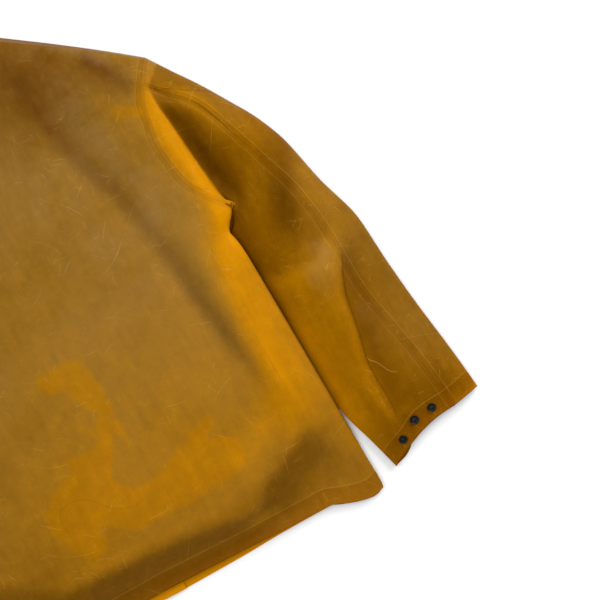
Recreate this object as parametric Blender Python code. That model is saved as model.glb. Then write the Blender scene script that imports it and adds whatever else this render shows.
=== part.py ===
"""A long coated jacket that lies on its front, back up, with its sleeves brought down along its sides.

Metres, +Z up. +Y runs from the hem to the collar, +X to the wearer's right, and the underside lies on z = 0.
Plan tables give the right half. The left half is its mirror image with weaker folds.
"""

import math
from collections import namedtuple

import bpy
import numpy as np
from mathutils import Vector
from mathutils.bvhtree import BVHTree


# Driving sizes
CLOTH = 0.002  # thickness of the coated cloth
HALF = CLOTH / 2
SEAM = 0.0004  # space between two pieces at a seam
NECK_X, NECK_Y = 0.093, 0.798  # where the shoulder line meets the neck
BACK_NECK_Y, BACK_NECK_TOP = 0.776, 0.788  # back neckline at the centre and at the shoulder seam
FRONT_NECK_Y, FRONT_NECK_TOP = 0.712, 0.786  # front neckline at the centre and below the shoulder
SHOULDER_X, SHOULDER_Y = 0.3023, 0.6473  # where the shoulder line meets the sleeve
COLLAR_X, COLLAR_TOP_Y = 0.079, 0.853  # upper edge of the collar's front half, at its side
COLLAR_FRONT_Y, COLLAR_BACK_Y = 0.777, 0.842  # its upper edge at the centre front and centre back
COLLAR_EDGE, COLLAR_EDGE_Z = (0.086, 0.860), 0.007  # its outermost point
COLLAR_SEAM, COLLAR_BACK_Z = (0.079, 0.862), 0.012  # its upper edge above that
COLLAR_SPLIT = 0.002  # half the space between its ends
OVERLAP = 0.020  # each front passes the centre by this much
PLATEAU = 0.046  # height of the back over most of the body
LEFT_FOLDS = 0.75  # folds of the left half against those of the right
SNAP_RADIUS, SNAP_DOME, SNAP_RIM = 0.0066, 0.0022, 0.0009
SNAP_LIFT = 0.0003  # from the cloth to a snap's underside
Y_SHIFT = -0.4270  # puts the origin under the middle of the laid jacket

# How finely each piece is divided
SIDE_ROWS = 14  # along the side seam
FLAT_COLUMNS, NECK_COLUMNS = 9, 3  # across half a front, and those inside the neck
ROLL_STEPS = 3
STRIP_COLUMNS = 3  # from the side's outermost line to the side seam
CAP_COLUMNS, ARM_COLUMNS, UNDER_COLUMNS = 4, 8, STRIP_COLUMNS  # round the armhole: shoulder, back, underarm
SOLE_COLUMNS = 7  # round the armhole on the front
FOLD_ROWS = 6  # between the armhole and the sleeve's first section
SLEEVE_RINGS = 18
TURN_COLUMN = ARM_COLUMNS + UNDER_COLUMNS - 1  # the sleeve's last column before the underarm
SPREADS = 200  # times that columns are moved to the middle of their neighbours
COLLAR_ROWS = 3
SNAP_SIDES = 20
PATH_STEPS = 16  # along a fold's path

Side = namedtuple("Side", "y edge_x edge_z roll ramp seam_x")
SIDES = [  # outermost line of the side, its height, how far the floor line lies inside, and the side seam
    Side(-0.003, 0.3140, 0.0065, 0.009, 0.090, 0.2437),
    Side(0.004, 0.3150, 0.0067, 0.010, 0.090, 0.2450),
    Side(0.050, 0.3128, 0.0085, 0.013, 0.085, 0.2560),
    Side(0.100, 0.3110, 0.0120, 0.018, 0.075, 0.2680),
    Side(0.200, 0.3065, 0.0180, 0.025, 0.065, 0.2630),
    Side(0.300, 0.3020, 0.0220, 0.028, 0.060, 0.2600),
    Side(0.360, 0.2988, 0.0235, 0.028, 0.057, 0.2610),
    Side(0.380, 0.2957, 0.0240, 0.029, 0.055, 0.2630),
    Side(0.389, 0.2930, 0.0240, 0.030, 0.052, 0.2640),
    Side(0.419, 0.3100, 0.0240, 0.030, 0.048, 0.2670),
    Side(0.434, 0.3065, 0.0245, 0.030, 0.045, 0.2700),
    Side(0.460, 0.3022, 0.0250, 0.030, 0.042, 0.2779),
    Side(0.532, 0.2935, 0.0280, 0.030, 0.036, 0.2779),
    Side(0.572, 0.2882, 0.0320, 0.030, 0.032, 0.2779),
    Side(0.611, 0.2850, 0.0480, 0.030, 0.030, 0.2779),
    Side(0.800, 0.2850, 0.0480, 0.030, 0.030, 0.2779),
]
Hem = namedtuple("Hem", "x back_y front_y lift flat ramp")
HEMS = [  # lower edges of the back and of the front, the back's height there, how far it stays low, and its rise
    Hem(0.0000, 0.0122, 0.0000, 0.0100, 0.000, 0.075),
    Hem(0.1086, 0.0104, 0.0020, 0.0095, 0.000, 0.070),
    Hem(0.1712, 0.0088, 0.0046, 0.0085, 0.006, 0.075),
    Hem(0.2401, 0.0077, 0.0055, 0.0072, 0.020, 0.090),
    Hem(0.2593, 0.0012, 0.0030, 0.0066, 0.028, 0.100),
    Hem(0.2800, -0.0053, -0.0020, 0.0065, 0.030, 0.110),
    Hem(0.2996, -0.0081, -0.0050, 0.0065, 0.030, 0.120),
    Hem(0.3140, -0.0030, -0.0030, 0.0065, 0.030, 0.120),
]
Armhole = namedtuple("Armhole", "x y")
BACK_ARMHOLE = [  # from the shoulder to the top of the side seam, over the back
    Armhole(SHOULDER_X, SHOULDER_Y),
    Armhole(0.2817, 0.6115),
    Armhole(0.2699, 0.5891),
    Armhole(0.2663, 0.5653),
    Armhole(0.2619, 0.5315),
    Armhole(0.2648, 0.5048),
    Armhole(0.2700, 0.4787),
    Armhole(0.2779, 0.4594),
]
UNDERARM = Armhole(0.3100, 0.4190)
UNDER_SHARES = (0.45, 0.85, 1.0)  # columns from the side seam's top to the underarm
FRONT_ARMHOLE = [  # from the underarm to the shoulder, on the floor
    Armhole(0.2797, 0.4120),
    Armhole(0.2600, 0.4550),
    Armhole(0.2580, 0.5200),
    Armhole(0.2660, 0.5800),
    Armhole(0.2920, 0.6380),
]
STAR = 1  # the row of BACK_ARMHOLE where the sleeve's back seam and the folds meet

Station = namedtuple("Station", "outer_x outer_y seam_x seam_y inner_y tuck reach_x reach_y bow puff")
STATIONS = [  # sections from the armhole to the cuff: outermost line, seam, innermost line against the body's side
    Station(0.3250, 0.6150, 0.2960, 0.5985, 0.3890, -0.0025, 0.055, 0.012, 0.030, 0.024),
    Station(0.3471, 0.5850, 0.3150, 0.5820, 0.3760, -0.0035, 0.050, 0.030, 0.034, 0.024),
    Station(0.3691, 0.5514, 0.3358, 0.5570, 0.3580, -0.0035, 0.045, 0.050, 0.034, 0.024),
    Station(0.3966, 0.5066, 0.3570, 0.5050, 0.3300, -0.0030, 0.045, 0.060, 0.030, 0.023),
    Station(0.4135, 0.4674, 0.3740, 0.4600, 0.3000, -0.0030, 0.045, 0.060, 0.025, 0.022),
    Station(0.4309, 0.3977, 0.3960, 0.3950, 0.2650, -0.0030, 0.045, 0.050, 0.018, 0.022),
    Station(0.4524, 0.3274, 0.4065, 0.3290, 0.2250, -0.0030, 0.045, 0.040, 0.010, 0.021),
    Station(0.4585, 0.2622, 0.4105, 0.2515, 0.1850, -0.0030, 0.040, 0.030, 0.005, 0.020),
    Station(0.4664, 0.1976, 0.4230, 0.1850, 0.1450, -0.0015, 0.040, 0.020, 0.000, 0.018),
    Station(0.4767, 0.1318, 0.4355, 0.1260, 0.1030, 0.0040, 0.040, 0.010, 0.000, 0.017),
    Station(0.4830, 0.0880, 0.4420, 0.0830, 0.0560, 0.0175, 0.038, 0.014, -0.003, 0.015),
    Station(0.4868, 0.0570, 0.4463, 0.0490, 0.0132, 0.0280, 0.030, 0.020, -0.009, 0.013),
]
Turn = namedtuple("Turn", "x y z")
UNDERARM_TURN = [  # the sleeve's edge from the seam over the fold's lower end and in under the body's side
    Turn(0.3105, 0.4262, 0.0290),
    Turn(0.3142, 0.4240, 0.0240),
    Turn(0.3155, 0.4195, 0.0190),
    Turn(0.3140, 0.4130, 0.0150),
    Turn(0.3110, 0.4060, 0.0120),
    Turn(0.3065, 0.3995, 0.0100),
]
UNDERARM_GAP = 0.0009  # more space at the seam there, where the cloth turns down steeply
FOLD_DOWN = 0.25  # the fold's edge lies this share of the way down from the armhole to the first section
FOLD_OUT, FOLD_OVER = 0.001, 0.002  # how far the cloth passes that edge on its way down, and at its foot
FOLD_FOOT, FOLD_FOOT_HEIGHT = 0.35, 0.12  # the foot's shares of the way out, and of the height
FOLD_COLUMNS = 3  # columns over which the fold sets in below the seam
SLEEVE_EDGE = 0.006  # height of the sleeve's outer line
OUTER_RAMP, INNER_RAMP = 0.050, 0.045
SHOULDER_EDGE, SHOULDER_RAMP, SHOULDER_ROLL = 0.009, 0.060, 0.012

Fold = namedtuple("Fold", "name path left right rise")
BODY_FOLDS = [  # widths are to the left and right of the path, seen along it
    Fold("side ridge", ((0.262, 0.12), (0.252, 0.25), (0.245, 0.36), (0.240, 0.45)), 0.026, 0.030, 0.007),
    Fold(
        "long trough",
        ((0.148, 0.68), (0.160, 0.58), (0.180, 0.51), (0.205, 0.44), (0.216, 0.34), (0.230, 0.19)),
        0.016,
        0.012,
        -0.006,
    ),
    Fold("shoulder blade", ((0.190, 0.66), (0.215, 0.58), (0.225, 0.50)), 0.030, 0.026, 0.005),
    Fold("corner slope", ((0.215, 0.02), (0.255, 0.07), (0.268, 0.12)), 0.020, 0.022, -0.010),
    Fold("pull to the sleeve", ((0.150, 0.735), (0.215, 0.695), (0.262, 0.645), (0.282, 0.612)), 0.014, 0.016, -0.004),
]
SLEEVE_FOLDS = [
    Fold("ridge at the seam", ((0.290, 0.604), (0.345, 0.535), (0.388, 0.430), (0.404, 0.320)), 0.030, 0.034, 0.013),
    Fold("underarm hollow", ((0.303, 0.575), (0.316, 0.510), (0.322, 0.455), (0.318, 0.400)), 0.016, 0.020, -0.012),
    Fold("elbow valley", ((0.388, 0.480), (0.380, 0.425), (0.360, 0.384), (0.352, 0.330)), 0.020, 0.024, -0.009),
    Fold(
        "forearm bulge",
        (
            (0.399, 0.335), (0.3965, 0.306), (0.3855, 0.280), (0.375, 0.245), (0.370, 0.211), (0.365, 0.187), (0.361, 0.164),
            (0.359, 0.137), (0.360, 0.108), (0.357, 0.010),
        ),
        0.014,
        0.046,
        0.012,
    ),
    Fold(
        "forearm crease",
        (
            (0.419, 0.325), (0.4145, 0.298), (0.4015, 0.272), (0.3905, 0.241), (0.3855, 0.208), (0.3815, 0.185),
            (0.376, 0.160), (0.3745, 0.136), (0.376, 0.108), (0.377, 0.060),
        ),
        0.026,
        0.007,
        -0.007,
    ),
]
Rise = namedtuple("Rise", "share height")
CUFF_RISES = [  # how far the cuff's lower edge curves up, from its inner to its outer corner
    Rise(0.00, 0.0000),
    Rise(0.08, 0.0000),
    Rise(0.16, 0.0035),
    Rise(0.27, 0.0130),
    Rise(0.39, 0.0170),
    Rise(0.50, 0.0155),
    Rise(0.72, 0.0076),
    Rise(0.87, 0.0010),
    Rise(1.00, 0.0000),
]
CUFF_START = 0.80  # the share of the sleeve's length from which that curve sets in
SNAPS = [(0.4198, 0.0612), (0.3921, 0.0575), (0.3668, 0.0420)]  # centres on the cuff


UP = np.array([0.0, 0.0, 1.0])
RIM_RULE = np.array([0.21, 0.37, 1.0])  # orders the two ends of a rim's face


# --- numbers --------------------------------------------------------------------------------------------------
def smooth(at, knots, values):
    """A curve through the values that never overshoots them (monotone cubic)."""
    at, knots, values = (np.asarray(a, float) for a in (at, knots, values))
    width = np.diff(knots)
    slope = np.diff(values) / width
    rate = np.zeros(len(knots))
    rate[0], rate[-1] = slope[0], slope[-1]
    same = slope[:-1] * slope[1:] > 0
    w1, w2 = 2 * width[1:] + width[:-1], width[1:] + 2 * width[:-1]
    safe = np.where(same, slope[:-1], 1.0), np.where(same, slope[1:], 1.0)
    rate[1:-1] = np.where(same, (w1 + w2) / (w1 / safe[0] + w2 / safe[1]), 0.0)
    at = np.clip(at, knots[0], knots[-1])
    k = np.clip(np.searchsorted(knots, at, side="right") - 1, 0, len(knots) - 2)
    t = (at - knots[k]) / width[k]
    return (
        values[k] * (1 + 2 * t) * (1 - t) ** 2
        + values[k + 1] * t * t * (3 - 2 * t)
        + width[k] * rate[k] * t * (1 - t) ** 2
        - width[k] * rate[k + 1] * t * t * (1 - t)
    )


def unit(v):
    return v / np.maximum(np.linalg.norm(v, axis=-1, keepdims=True), 1e-12)


def column(table, name):
    return np.array([getattr(row, name) for row in table])


def side(name, y):
    return smooth(y, column(SIDES, "y"), column(SIDES, name))


def hem(name, x):
    return smooth(np.abs(x), column(HEMS, "x"), column(HEMS, name))


def step(t):
    t = np.clip(t, 0.0, 1.0)
    return t * t * (3 - 2 * t)


def rounded(distance, width):
    """Rises from 0 at an edge like a quarter of an ellipse, to 1 at that width."""
    t = np.clip(1 - distance / width, 0.0, 1.0)
    return np.sqrt(np.maximum(1 - t * t, 0.0))


def along(points, count):
    """Count + 1 points at even distances along a smooth line through the given ones."""
    points = np.array(points, float)
    travelled = np.concatenate([[0], np.cumsum(np.linalg.norm(np.diff(points, axis=0), axis=1))])
    at = np.linspace(0, travelled[-1], count + 1)
    return np.stack([smooth(at, travelled, points[:, k]) for k in range(2)], axis=1)


def rise(folds, x, y):
    """The height that the folds add at plan points x, y."""
    total = np.zeros(np.broadcast(x, y).shape)
    for fold in folds:
        path = along(fold.path, PATH_STEPS)
        lengths = np.linalg.norm(np.diff(path, axis=0), axis=1)
        nearest = np.full(total.shape, np.inf)
        share, turn = np.zeros(total.shape), np.zeros(total.shape)
        for k, length in enumerate(lengths):
            ux, uy = (path[k + 1] - path[k]) / length
            dx, dy = x - path[k, 0], y - path[k, 1]
            t = np.clip(dx * ux + dy * uy, 0, length)
            away = np.hypot(dx - t * ux, dy - t * uy)
            closer = away < nearest
            nearest = np.where(closer, away, nearest)
            share = np.where(closer, (lengths[:k].sum() + t) / lengths.sum(), share)
            turn = np.where(closer, ux * dy - uy * dx, turn)
        width = np.where(turn > 0, fold.left, fold.right)
        ends = step(share / 0.25) * step((1 - share) / 0.25)
        total += fold.rise * ends * np.exp(-((nearest / width) ** 2))
    return total


# --- the form -------------------------------------------------------------------------------------------------
def shoulder_y(x):
    """The shoulder's outermost line."""
    return smooth(
        np.abs(x),
        [0, NECK_X, 0.143, 0.2092, 0.2637, SHOULDER_X, 0.36],
        [BACK_NECK_Y + 0.03, NECK_Y, 0.7622, 0.7164, 0.6769, SHOULDER_Y, 0.60],
    )


def back_height(x, y):
    """Height of the middle of the cloth over the back, out to the side's outermost line."""
    far = np.abs(x)
    strength = np.where(x < 0, LEFT_FOLDS, 1.0)
    dome = PLATEAU - 0.010 * step((y - 0.45) / 0.30) + 0.003 * np.cos(far * 9.0) * step(y / 0.2)
    height = dome + strength * rise(BODY_FOLDS, far, y)
    edge = np.minimum(side("edge_z", y), height)
    height = edge + (height - edge) * rounded(side("edge_x", y) - far, side("ramp", y))
    to_shoulder = np.maximum(shoulder_y(far) - y, 0) * 0.81
    height = SHOULDER_EDGE + (height - SHOULDER_EDGE) * rounded(to_shoulder, SHOULDER_RAMP)
    lift = hem("lift", far)
    above_hem = (y - hem("back_y", far) - hem("flat", far)) / hem("ramp", far)
    return lift + (height - lift) * step(above_hem)


def back_normal(x, y, hand=1):
    """Upward normal of the back, from the slopes a little inside."""
    h = 0.001
    inward = np.minimum(np.abs(x), side("edge_x", y) - 2 * h) * np.sign(x) * hand
    sx = (back_height(inward + h, y) - back_height(inward - h, y)) / (2 * h) * hand
    sy = (back_height(inward, y + h) - back_height(inward, y - h)) / (2 * h)
    return unit(np.stack([-sx, -sy, np.ones_like(sx)], axis=-1))


def with_height(plan, hand=1):
    """Plan points lifted onto the back. hand is -1 for a left piece, which is built as a right one and mirrored."""
    return np.concatenate([plan, back_height(plan[..., 0] * hand, plan[..., 1])[..., None]], axis=-1)


def roll_points(floor, edge, edge_z, out=None):
    """Points and normals from the floor line round to the outermost line, both ends left out."""
    floor, edge = np.array(floor[:2]), np.array(edge[:2])
    angle = math.pi / 2 * np.arange(1, ROLL_STEPS + 1)[:, None] / (ROLL_STEPS + 1)
    plan = floor + (edge - floor) * np.sin(angle)
    height = HALF + (edge_z - HALF) * (1 - np.cos(angle))
    outward = unit(np.append(edge - floor, 0)) if out is None else unit(np.array(out, float))
    return np.concatenate([plan, height], 1), unit(outward * np.sin(angle) - UP * np.cos(angle))


def grid_normals(points):
    """Normals of a grid whose cells face the way its columns turn towards its rows."""
    return unit(np.cross(np.gradient(points, axis=1), np.gradient(points, axis=0)))


def armhole(hand):
    """Points and outward normals round the armhole: back, underarm, roll, front, roll, shoulder, back."""
    arm = along(BACK_ARMHOLE[STAR:], ARM_COLUMNS)
    top, crotch = np.array(BACK_ARMHOLE[-1]), np.array(UNDERARM)
    under = top + (crotch - top) * np.array(UNDER_SHARES)[:, None]
    sole = along(FRONT_ARMHOLE, SOLE_COLUMNS)
    cap = along(BACK_ARMHOLE[: STAR + 1], CAP_COLUMNS)
    over = with_height(np.concatenate([arm, under]), hand)
    over_normal = back_normal(over[:, 0], over[:, 1], hand)
    over_normal[-1] = unit(np.array([1.0, 0.0, 0.15]))
    low, low_normal = roll_points(sole[0], UNDERARM, over[-1, 2])
    high, high_normal = roll_points(sole[-1], cap[0], SHOULDER_EDGE)
    flat = np.column_stack([sole, np.full(len(sole), HALF)])
    shoulder = with_height(cap, hand)
    shoulder_normal = back_normal(cap[:, 0], cap[:, 1], hand)
    shoulder_normal[0] = unit(np.array([0.5, 0.85, 0.2]))
    points = np.concatenate([over, low[::-1], flat, high, shoulder])
    down = np.tile(-UP, (len(sole), 1))
    return points, np.concatenate([over_normal, low_normal[::-1], down, high_normal, shoulder_normal])


def front_neck_y(x, width=NECK_X, low=FRONT_NECK_Y, high=FRONT_NECK_TOP):
    """Front edge of the neck, or of the collar: straight where the fronts lap, then curving up to its side."""
    return high - (high - low) * rounded(width - np.abs(x), width - OVERLAP - 0.002)


def back_neck_y(x):
    return BACK_NECK_TOP - (BACK_NECK_TOP - BACK_NECK_Y) * rounded(NECK_X - np.abs(x), NECK_X)


def shoulder_seam(hand):
    """The shoulder seam, a little behind the shoulder's outermost line, and its plan x for each column."""
    last = armhole(hand)[0][-CAP_COLUMNS]
    x = np.linspace(NECK_X, last[0], FLAT_COLUMNS - NECK_COLUMNS + 1)
    far = step((x - NECK_X) / (last[0] - NECK_X))
    behind = NECK_Y - BACK_NECK_TOP + (shoulder_y(last[0]) - last[1] - NECK_Y + BACK_NECK_TOP) * far
    return with_height(np.stack([x, shoulder_y(x) - behind], 1), hand)


def seam_rows():
    """Heights y of the rows on the side's outermost line, and on the side seam."""
    share = np.linspace(0, 1, SIDE_ROWS + 1) ** 1.2
    low, high = float(hem("back_y", SIDES[0].seam_x)), BACK_ARMHOLE[-1].y
    return SIDES[0].y + (UNDERARM.y - SIDES[0].y) * share, low + (high - low) * share


# --- pieces ---------------------------------------------------------------------------------------------------
def finish(name, colour, roughness):
    material = bpy.data.materials.new(name)
    material.use_nodes = True
    shader = material.node_tree.nodes["Principled BSDF"]
    shader.inputs["Base Color"].default_value = (*colour, 1.0)
    shader.inputs["Roughness"].default_value = roughness
    return material


def add(name, points, faces, material, hand=1):
    points = np.array(points) * (hand, 1, 1) + (0, Y_SHIFT, 0)
    mesh = bpy.data.meshes.new(name)
    mesh.from_pydata(points.tolist(), [], [tuple(map(int, face[::hand])) for face in faces])
    mesh.materials.append(material)
    mesh.shade_smooth()
    mesh.set_sharp_from_angle(angle=math.radians(50))
    obj = bpy.data.objects.new(name, mesh)
    bpy.context.scene.collection.objects.link(obj)
    return obj


def wall(name, middle, normal, used, material, hand=1):
    """A cloth wall round a grid of middle points, over the cells that are used, on both sides of them."""
    rows, columns = middle.shape[:2]
    index = np.arange(rows * columns).reshape(rows, columns)
    corners = [
        (index[i, j], index[i, j + 1], index[i + 1, j + 1], index[i + 1, j])
        for i in range(rows - 1)
        for j in range(columns - 1)
        if used[i, j]
    ]
    skin = [half for a, b, c, d in corners for half in ((a, b, c), (a, c, d))]
    edges = {pair for face in skin for pair in zip(face, face[1:] + face[:1], strict=True)}
    rims = sorted((a, b) for a, b in edges if (b, a) not in edges)
    keep = sorted({point for face in skin for point in face})
    new = {point: k for k, point in enumerate(keep)}
    centre, out = middle.reshape(-1, 3)[keep], normal.reshape(-1, 3)[keep]
    count = len(keep)
    faces = [tuple(new[p] for p in face) for face in skin]
    faces += [tuple(new[p] + count for p in face[::-1]) for face in skin]
    for a, b in rims:  # cut across alike on both sides of a seam
        a, b = new[a], new[b]
        if centre[a] @ RIM_RULE > centre[b] @ RIM_RULE:
            faces += [(b, a, b + count), (a, a + count, b + count)]
        else:
            faces += [(b, a, a + count), (b, a + count, b + count)]
    return add(name, np.concatenate([centre + out * HALF, centre - out * HALF]), faces, material, hand)


def draw_in(edge, inside, by=SEAM / 2):
    """Moves the points of an edge towards those inside it."""
    edge += unit(inside - edge) * by


def back_panel(material):
    """The back between the two side seams, from the hem to the neck and the shoulder seams."""
    _, seam_y = seam_rows()
    ring = armhole(1)[0][:, :2]
    arm = np.concatenate([ring[ARM_COLUMNS::-1], ring[-2 : -CAP_COLUMNS - 1 : -1]])
    right = np.concatenate([np.stack([side("seam_x", seam_y), seam_y], 1)[:-1], arm])
    up = ((right[:, 1] - right[0, 1]) / (right[-1, 1] - right[0, 1]))[:, None, None]
    neck_x = np.linspace(0, NECK_X, NECK_COLUMNS + 1)[:-1]
    top = np.concatenate([np.stack([neck_x, back_neck_y(neck_x)], 1), shoulder_seam(1)[:, :2]])
    across = (top[:, 0] / top[-1, 0])[None, :, None]
    bottom_x = across[0, :, 0] * right[0, 0]
    bottom = np.stack([bottom_x, hem("back_y", bottom_x)], 1)
    centre = np.concatenate([np.zeros_like(up[:, 0]), bottom[0, 1] + (BACK_NECK_Y - bottom[0, 1]) * up[:, 0]], 1)
    sides = (1 - across) * centre[:, None] + across * right[:, None]
    ends = (1 - up) * bottom[None] + up * top[None]
    low = (1 - across) * bottom[0] + across * bottom[-1]
    high = (1 - across) * top[0] + across * top[-1]
    plan = sides + ends - (1 - up) * low - up * high
    plan = np.concatenate([plan[:, :0:-1] * (-1, 1), plan], axis=1)
    middle = with_height(plan)
    normal = back_normal(plan[..., 0], plan[..., 1])
    for edge, inside in ((middle[:, 0], middle[:, 1]), (middle[:, -1], middle[:, -2]), (middle[-1], middle[-2])):
        draw_in(edge, inside)
    wall("back", middle, normal, np.ones(plan.shape[:2], bool), material)


def lapped(x, lies_over):
    """Height of a front: the one that lies over the other rises at the centre."""
    return HALF + lies_over * (CLOTH + 0.0006) * (1 - step((np.abs(x) - OVERLAP - 0.004) / 0.014))


def front_columns():
    """Plan x of a front's columns at the neck and shoulder, from its edge past the centre."""
    neck = np.linspace(0, NECK_X, NECK_COLUMNS + 1)[1:]
    return np.concatenate([[-OVERLAP, OVERLAP + 0.002, OVERLAP + 0.022], neck[neck > OVERLAP + 0.03]])


def front_panel(name, hand, material):
    """A front: flat on the floor, rolled round the side up to the side seam, and over the shoulder."""
    edge_y, seam_y = seam_rows()
    ring, ring_normal = armhole(hand)
    under = ARM_COLUMNS + UNDER_COLUMNS  # the ring's underarm point
    sole = under + ROLL_STEPS + 1  # its first point on the floor
    sole_end = sole + SOLE_COLUMNS
    seam_line = shoulder_seam(hand)
    neck_x = front_columns()
    top_x = np.concatenate([neck_x, np.linspace(NECK_X, ring[sole_end, 0], len(seam_line))[1:]])
    top_y = np.where(top_x < NECK_X + 1e-6, front_neck_y(top_x), shoulder_y(top_x) - SHOULDER_ROLL)
    top_y[0], top_y[-1] = FRONT_NECK_Y, ring[sole_end, 1]
    flat, neck = len(top_x) - 1, len(neck_x) - 1  # the last columns on the floor and in the neck
    first_over = SIDE_ROWS + SOLE_COLUMNS
    rows, columns = first_over + ROLL_STEPS + 3, flat + ROLL_STEPS + STRIP_COLUMNS + 2
    middle, normal = np.zeros((rows, columns, 3)), np.tile(-UP, (rows, columns, 1))

    floor_x = side("edge_x", edge_y) - side("roll", edge_y)
    floor_y = SIDES[0].y + (ring[sole, 1] - SIDES[0].y) * (edge_y - edge_y[0]) / (edge_y[-1] - edge_y[0])
    right = np.concatenate([np.stack([floor_x, floor_y], 1)[:-1], ring[sole : sole_end + 1, :2]])
    up = (right[:, 1] - right[0, 1]) / (right[-1, 1] - right[0, 1])
    across = (top_x - top_x[0]) / (top_x[-1] - top_x[0])
    for i, (right_x, right_y) in enumerate(right):
        x = np.where(across < 0.2, top_x, top_x[0] + across * (right_x - top_x[0]))
        low = hem("front_y", x)
        y = low + (top_y - low) * up[i]
        y += (right_y - y[-1]) * step(across)
        middle[i, : flat + 1] = np.stack([x, y, lapped(x, hand < 0)], 1)
    for i in range(SIDE_ROWS):  # round the side and over to the side seam
        edge = np.array([side("edge_x", edge_y[i]), edge_y[i]])
        seam = np.array([side("seam_x", seam_y[i]), seam_y[i]])
        inward = np.linspace(0, 1, STRIP_COLUMNS + 1)[:, None] ** 1.3
        strip = edge * (1 - inward) + seam * inward
        if i == 0:
            strip[:, 1] = hem("back_y", strip[:, 0])
        strip = with_height(strip, hand)
        middle[i, flat + 1 :] = np.concatenate([roll_points(middle[i, flat], edge, strip[0, 2])[0], strip])
    middle[SIDE_ROWS, flat + 1 :] = ring[sole - 1 : ARM_COLUMNS - 1 : -1]
    turned = -grid_normals(middle[: SIDE_ROWS + 1, flat - 1 :])
    normal[: SIDE_ROWS + 1, flat + 1 :] = turned[:, 2:]
    normal[SIDE_ROWS, flat + 1 :] = ring_normal[sole - 1 : ARM_COLUMNS - 1 : -1]
    normal[:SIDE_ROWS, -1] = back_normal(middle[:SIDE_ROWS, -1, 0], middle[:SIDE_ROWS, -1, 1], hand)
    for j, seam in enumerate(seam_line, neck):  # over the shoulder
        edge = np.array([seam[0], shoulder_y(seam[0]), SHOULDER_EDGE])
        points, normals = roll_points(middle[first_over, j], edge, SHOULDER_EDGE, (0, 1, 0))
        edge_normal = unit(np.array([0.3, 0.9, 0.2]))
        if j == neck:
            points, normals, edge_normal = neck_roll()
        if j == flat:
            points, normals = ring[sole_end + 1 : -CAP_COLUMNS - 1], ring_normal[sole_end + 1 : -CAP_COLUMNS - 1]
            edge, edge_normal = ring[-CAP_COLUMNS - 1], ring_normal[-CAP_COLUMNS - 1]
        middle[first_over + 1 :, j] = np.array([*points, edge, seam])
        normal[first_over + 1 :, j] = np.array([*normals, edge_normal, back_normal(seam[0], seam[1], hand)])

    used = np.zeros((rows, columns), bool)
    used[:SIDE_ROWS] = True
    used[SIDE_ROWS:first_over, :flat] = True
    used[first_over:, neck:flat] = True
    draw_in(middle[:SIDE_ROWS, -1], middle[:SIDE_ROWS, -2])
    draw_in(middle[SIDE_ROWS, flat + 1 :], middle[SIDE_ROWS - 1, flat + 1 :])
    draw_in(middle[SIDE_ROWS:, flat], middle[SIDE_ROWS:, flat - 1])
    draw_in(middle[-1, neck : flat + 1], middle[-2, neck : flat + 1])
    return wall(name, middle, -normal, used, material, hand)


def neck_roll():
    """Points and normals over the shoulder at the neck, and the normal of the shoulder's edge there."""
    out = (1.0, 1.0, 0.0)
    points, normals = roll_points((NECK_X, FRONT_NECK_TOP), (NECK_X, NECK_Y), SHOULDER_EDGE, out)
    return points, normals, unit(np.array([1.0, 1.0, 0.2]))


def collar_ring(width, front_low, front_top, edge, edge_z, seam, seam_z, back_low, lap):
    """Points round one edge of the collar's half, from the centre front to the centre back."""
    x = np.array([COLLAR_SPLIT, *front_columns()[1:]]) * width / NECK_X
    y = front_neck_y(x, width, front_low, front_top)
    front = np.stack([x, y, lapped(x, lap)], 1)
    roll = roll_points(front[-1], edge, edge_z)[0]
    back_x = np.linspace(width, 0, NECK_COLUMNS + 1)[1:]
    back_y = seam[1] - (seam[1] - back_low) * rounded(width - back_x, width)
    back = np.stack([back_x, back_y, seam_z + 0.003 * (1 - back_x / width)], 1)
    return np.concatenate([front, roll, [[*edge, edge_z]], [[*seam, seam_z]], back])


def collar(material):
    """A stand collar, flattened: its front half on the floor, its back half above, split at the front."""
    halves = []
    for hand in (1, -1):
        seam = shoulder_seam(hand)[0]
        width = NECK_X
        low = collar_ring(
            width, FRONT_NECK_Y, FRONT_NECK_TOP, (width, NECK_Y), SHOULDER_EDGE, seam[:2], seam[2], BACK_NECK_Y, hand < 0
        )
        low[len(front_columns()) : len(front_columns()) + ROLL_STEPS] = neck_roll()[0]
        low[-NECK_COLUMNS:, 2] = back_height(low[-NECK_COLUMNS:, 0] * hand, low[-NECK_COLUMNS:, 1])
        low_normal = np.tile(-UP, (len(low), 1))
        first = len(front_columns())
        low_normal[first : first + ROLL_STEPS] = neck_roll()[1]
        low_normal[first + ROLL_STEPS] = neck_roll()[2]
        tail = low[first + ROLL_STEPS + 1 :]
        low_normal[first + ROLL_STEPS + 1 :] = back_normal(tail[:, 0], tail[:, 1], hand)
        side_points = slice(first - 1, first + ROLL_STEPS + 2)
        shift = np.tile([0.0, SEAM, 0.0], (len(low), 1))
        shift[side_points] = (-SEAM, SEAM, 0.0)
        high = collar_ring(
            COLLAR_X, COLLAR_FRONT_Y, COLLAR_TOP_Y, COLLAR_EDGE, COLLAR_EDGE_Z, COLLAR_SEAM, COLLAR_BACK_Z,
            COLLAR_BACK_Y, hand < 0,
        )
        share = np.linspace(0, 1, COLLAR_ROWS + 1)[:, None, None]
        halves.append(((low + shift) * (1 - share) + high * share, low_normal))
    (right, right_normal), (left, left_normal) = halves
    middle = np.concatenate([right, left[:, -2::-1] * (-1, 1, 1)], axis=1)
    normal = -grid_normals(middle)
    normal[0] = np.concatenate([right_normal, left_normal[-2::-1] * (-1, 1, 1)])
    wall("collar", middle, -normal, np.ones(middle.shape[:2], bool), material)


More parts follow.
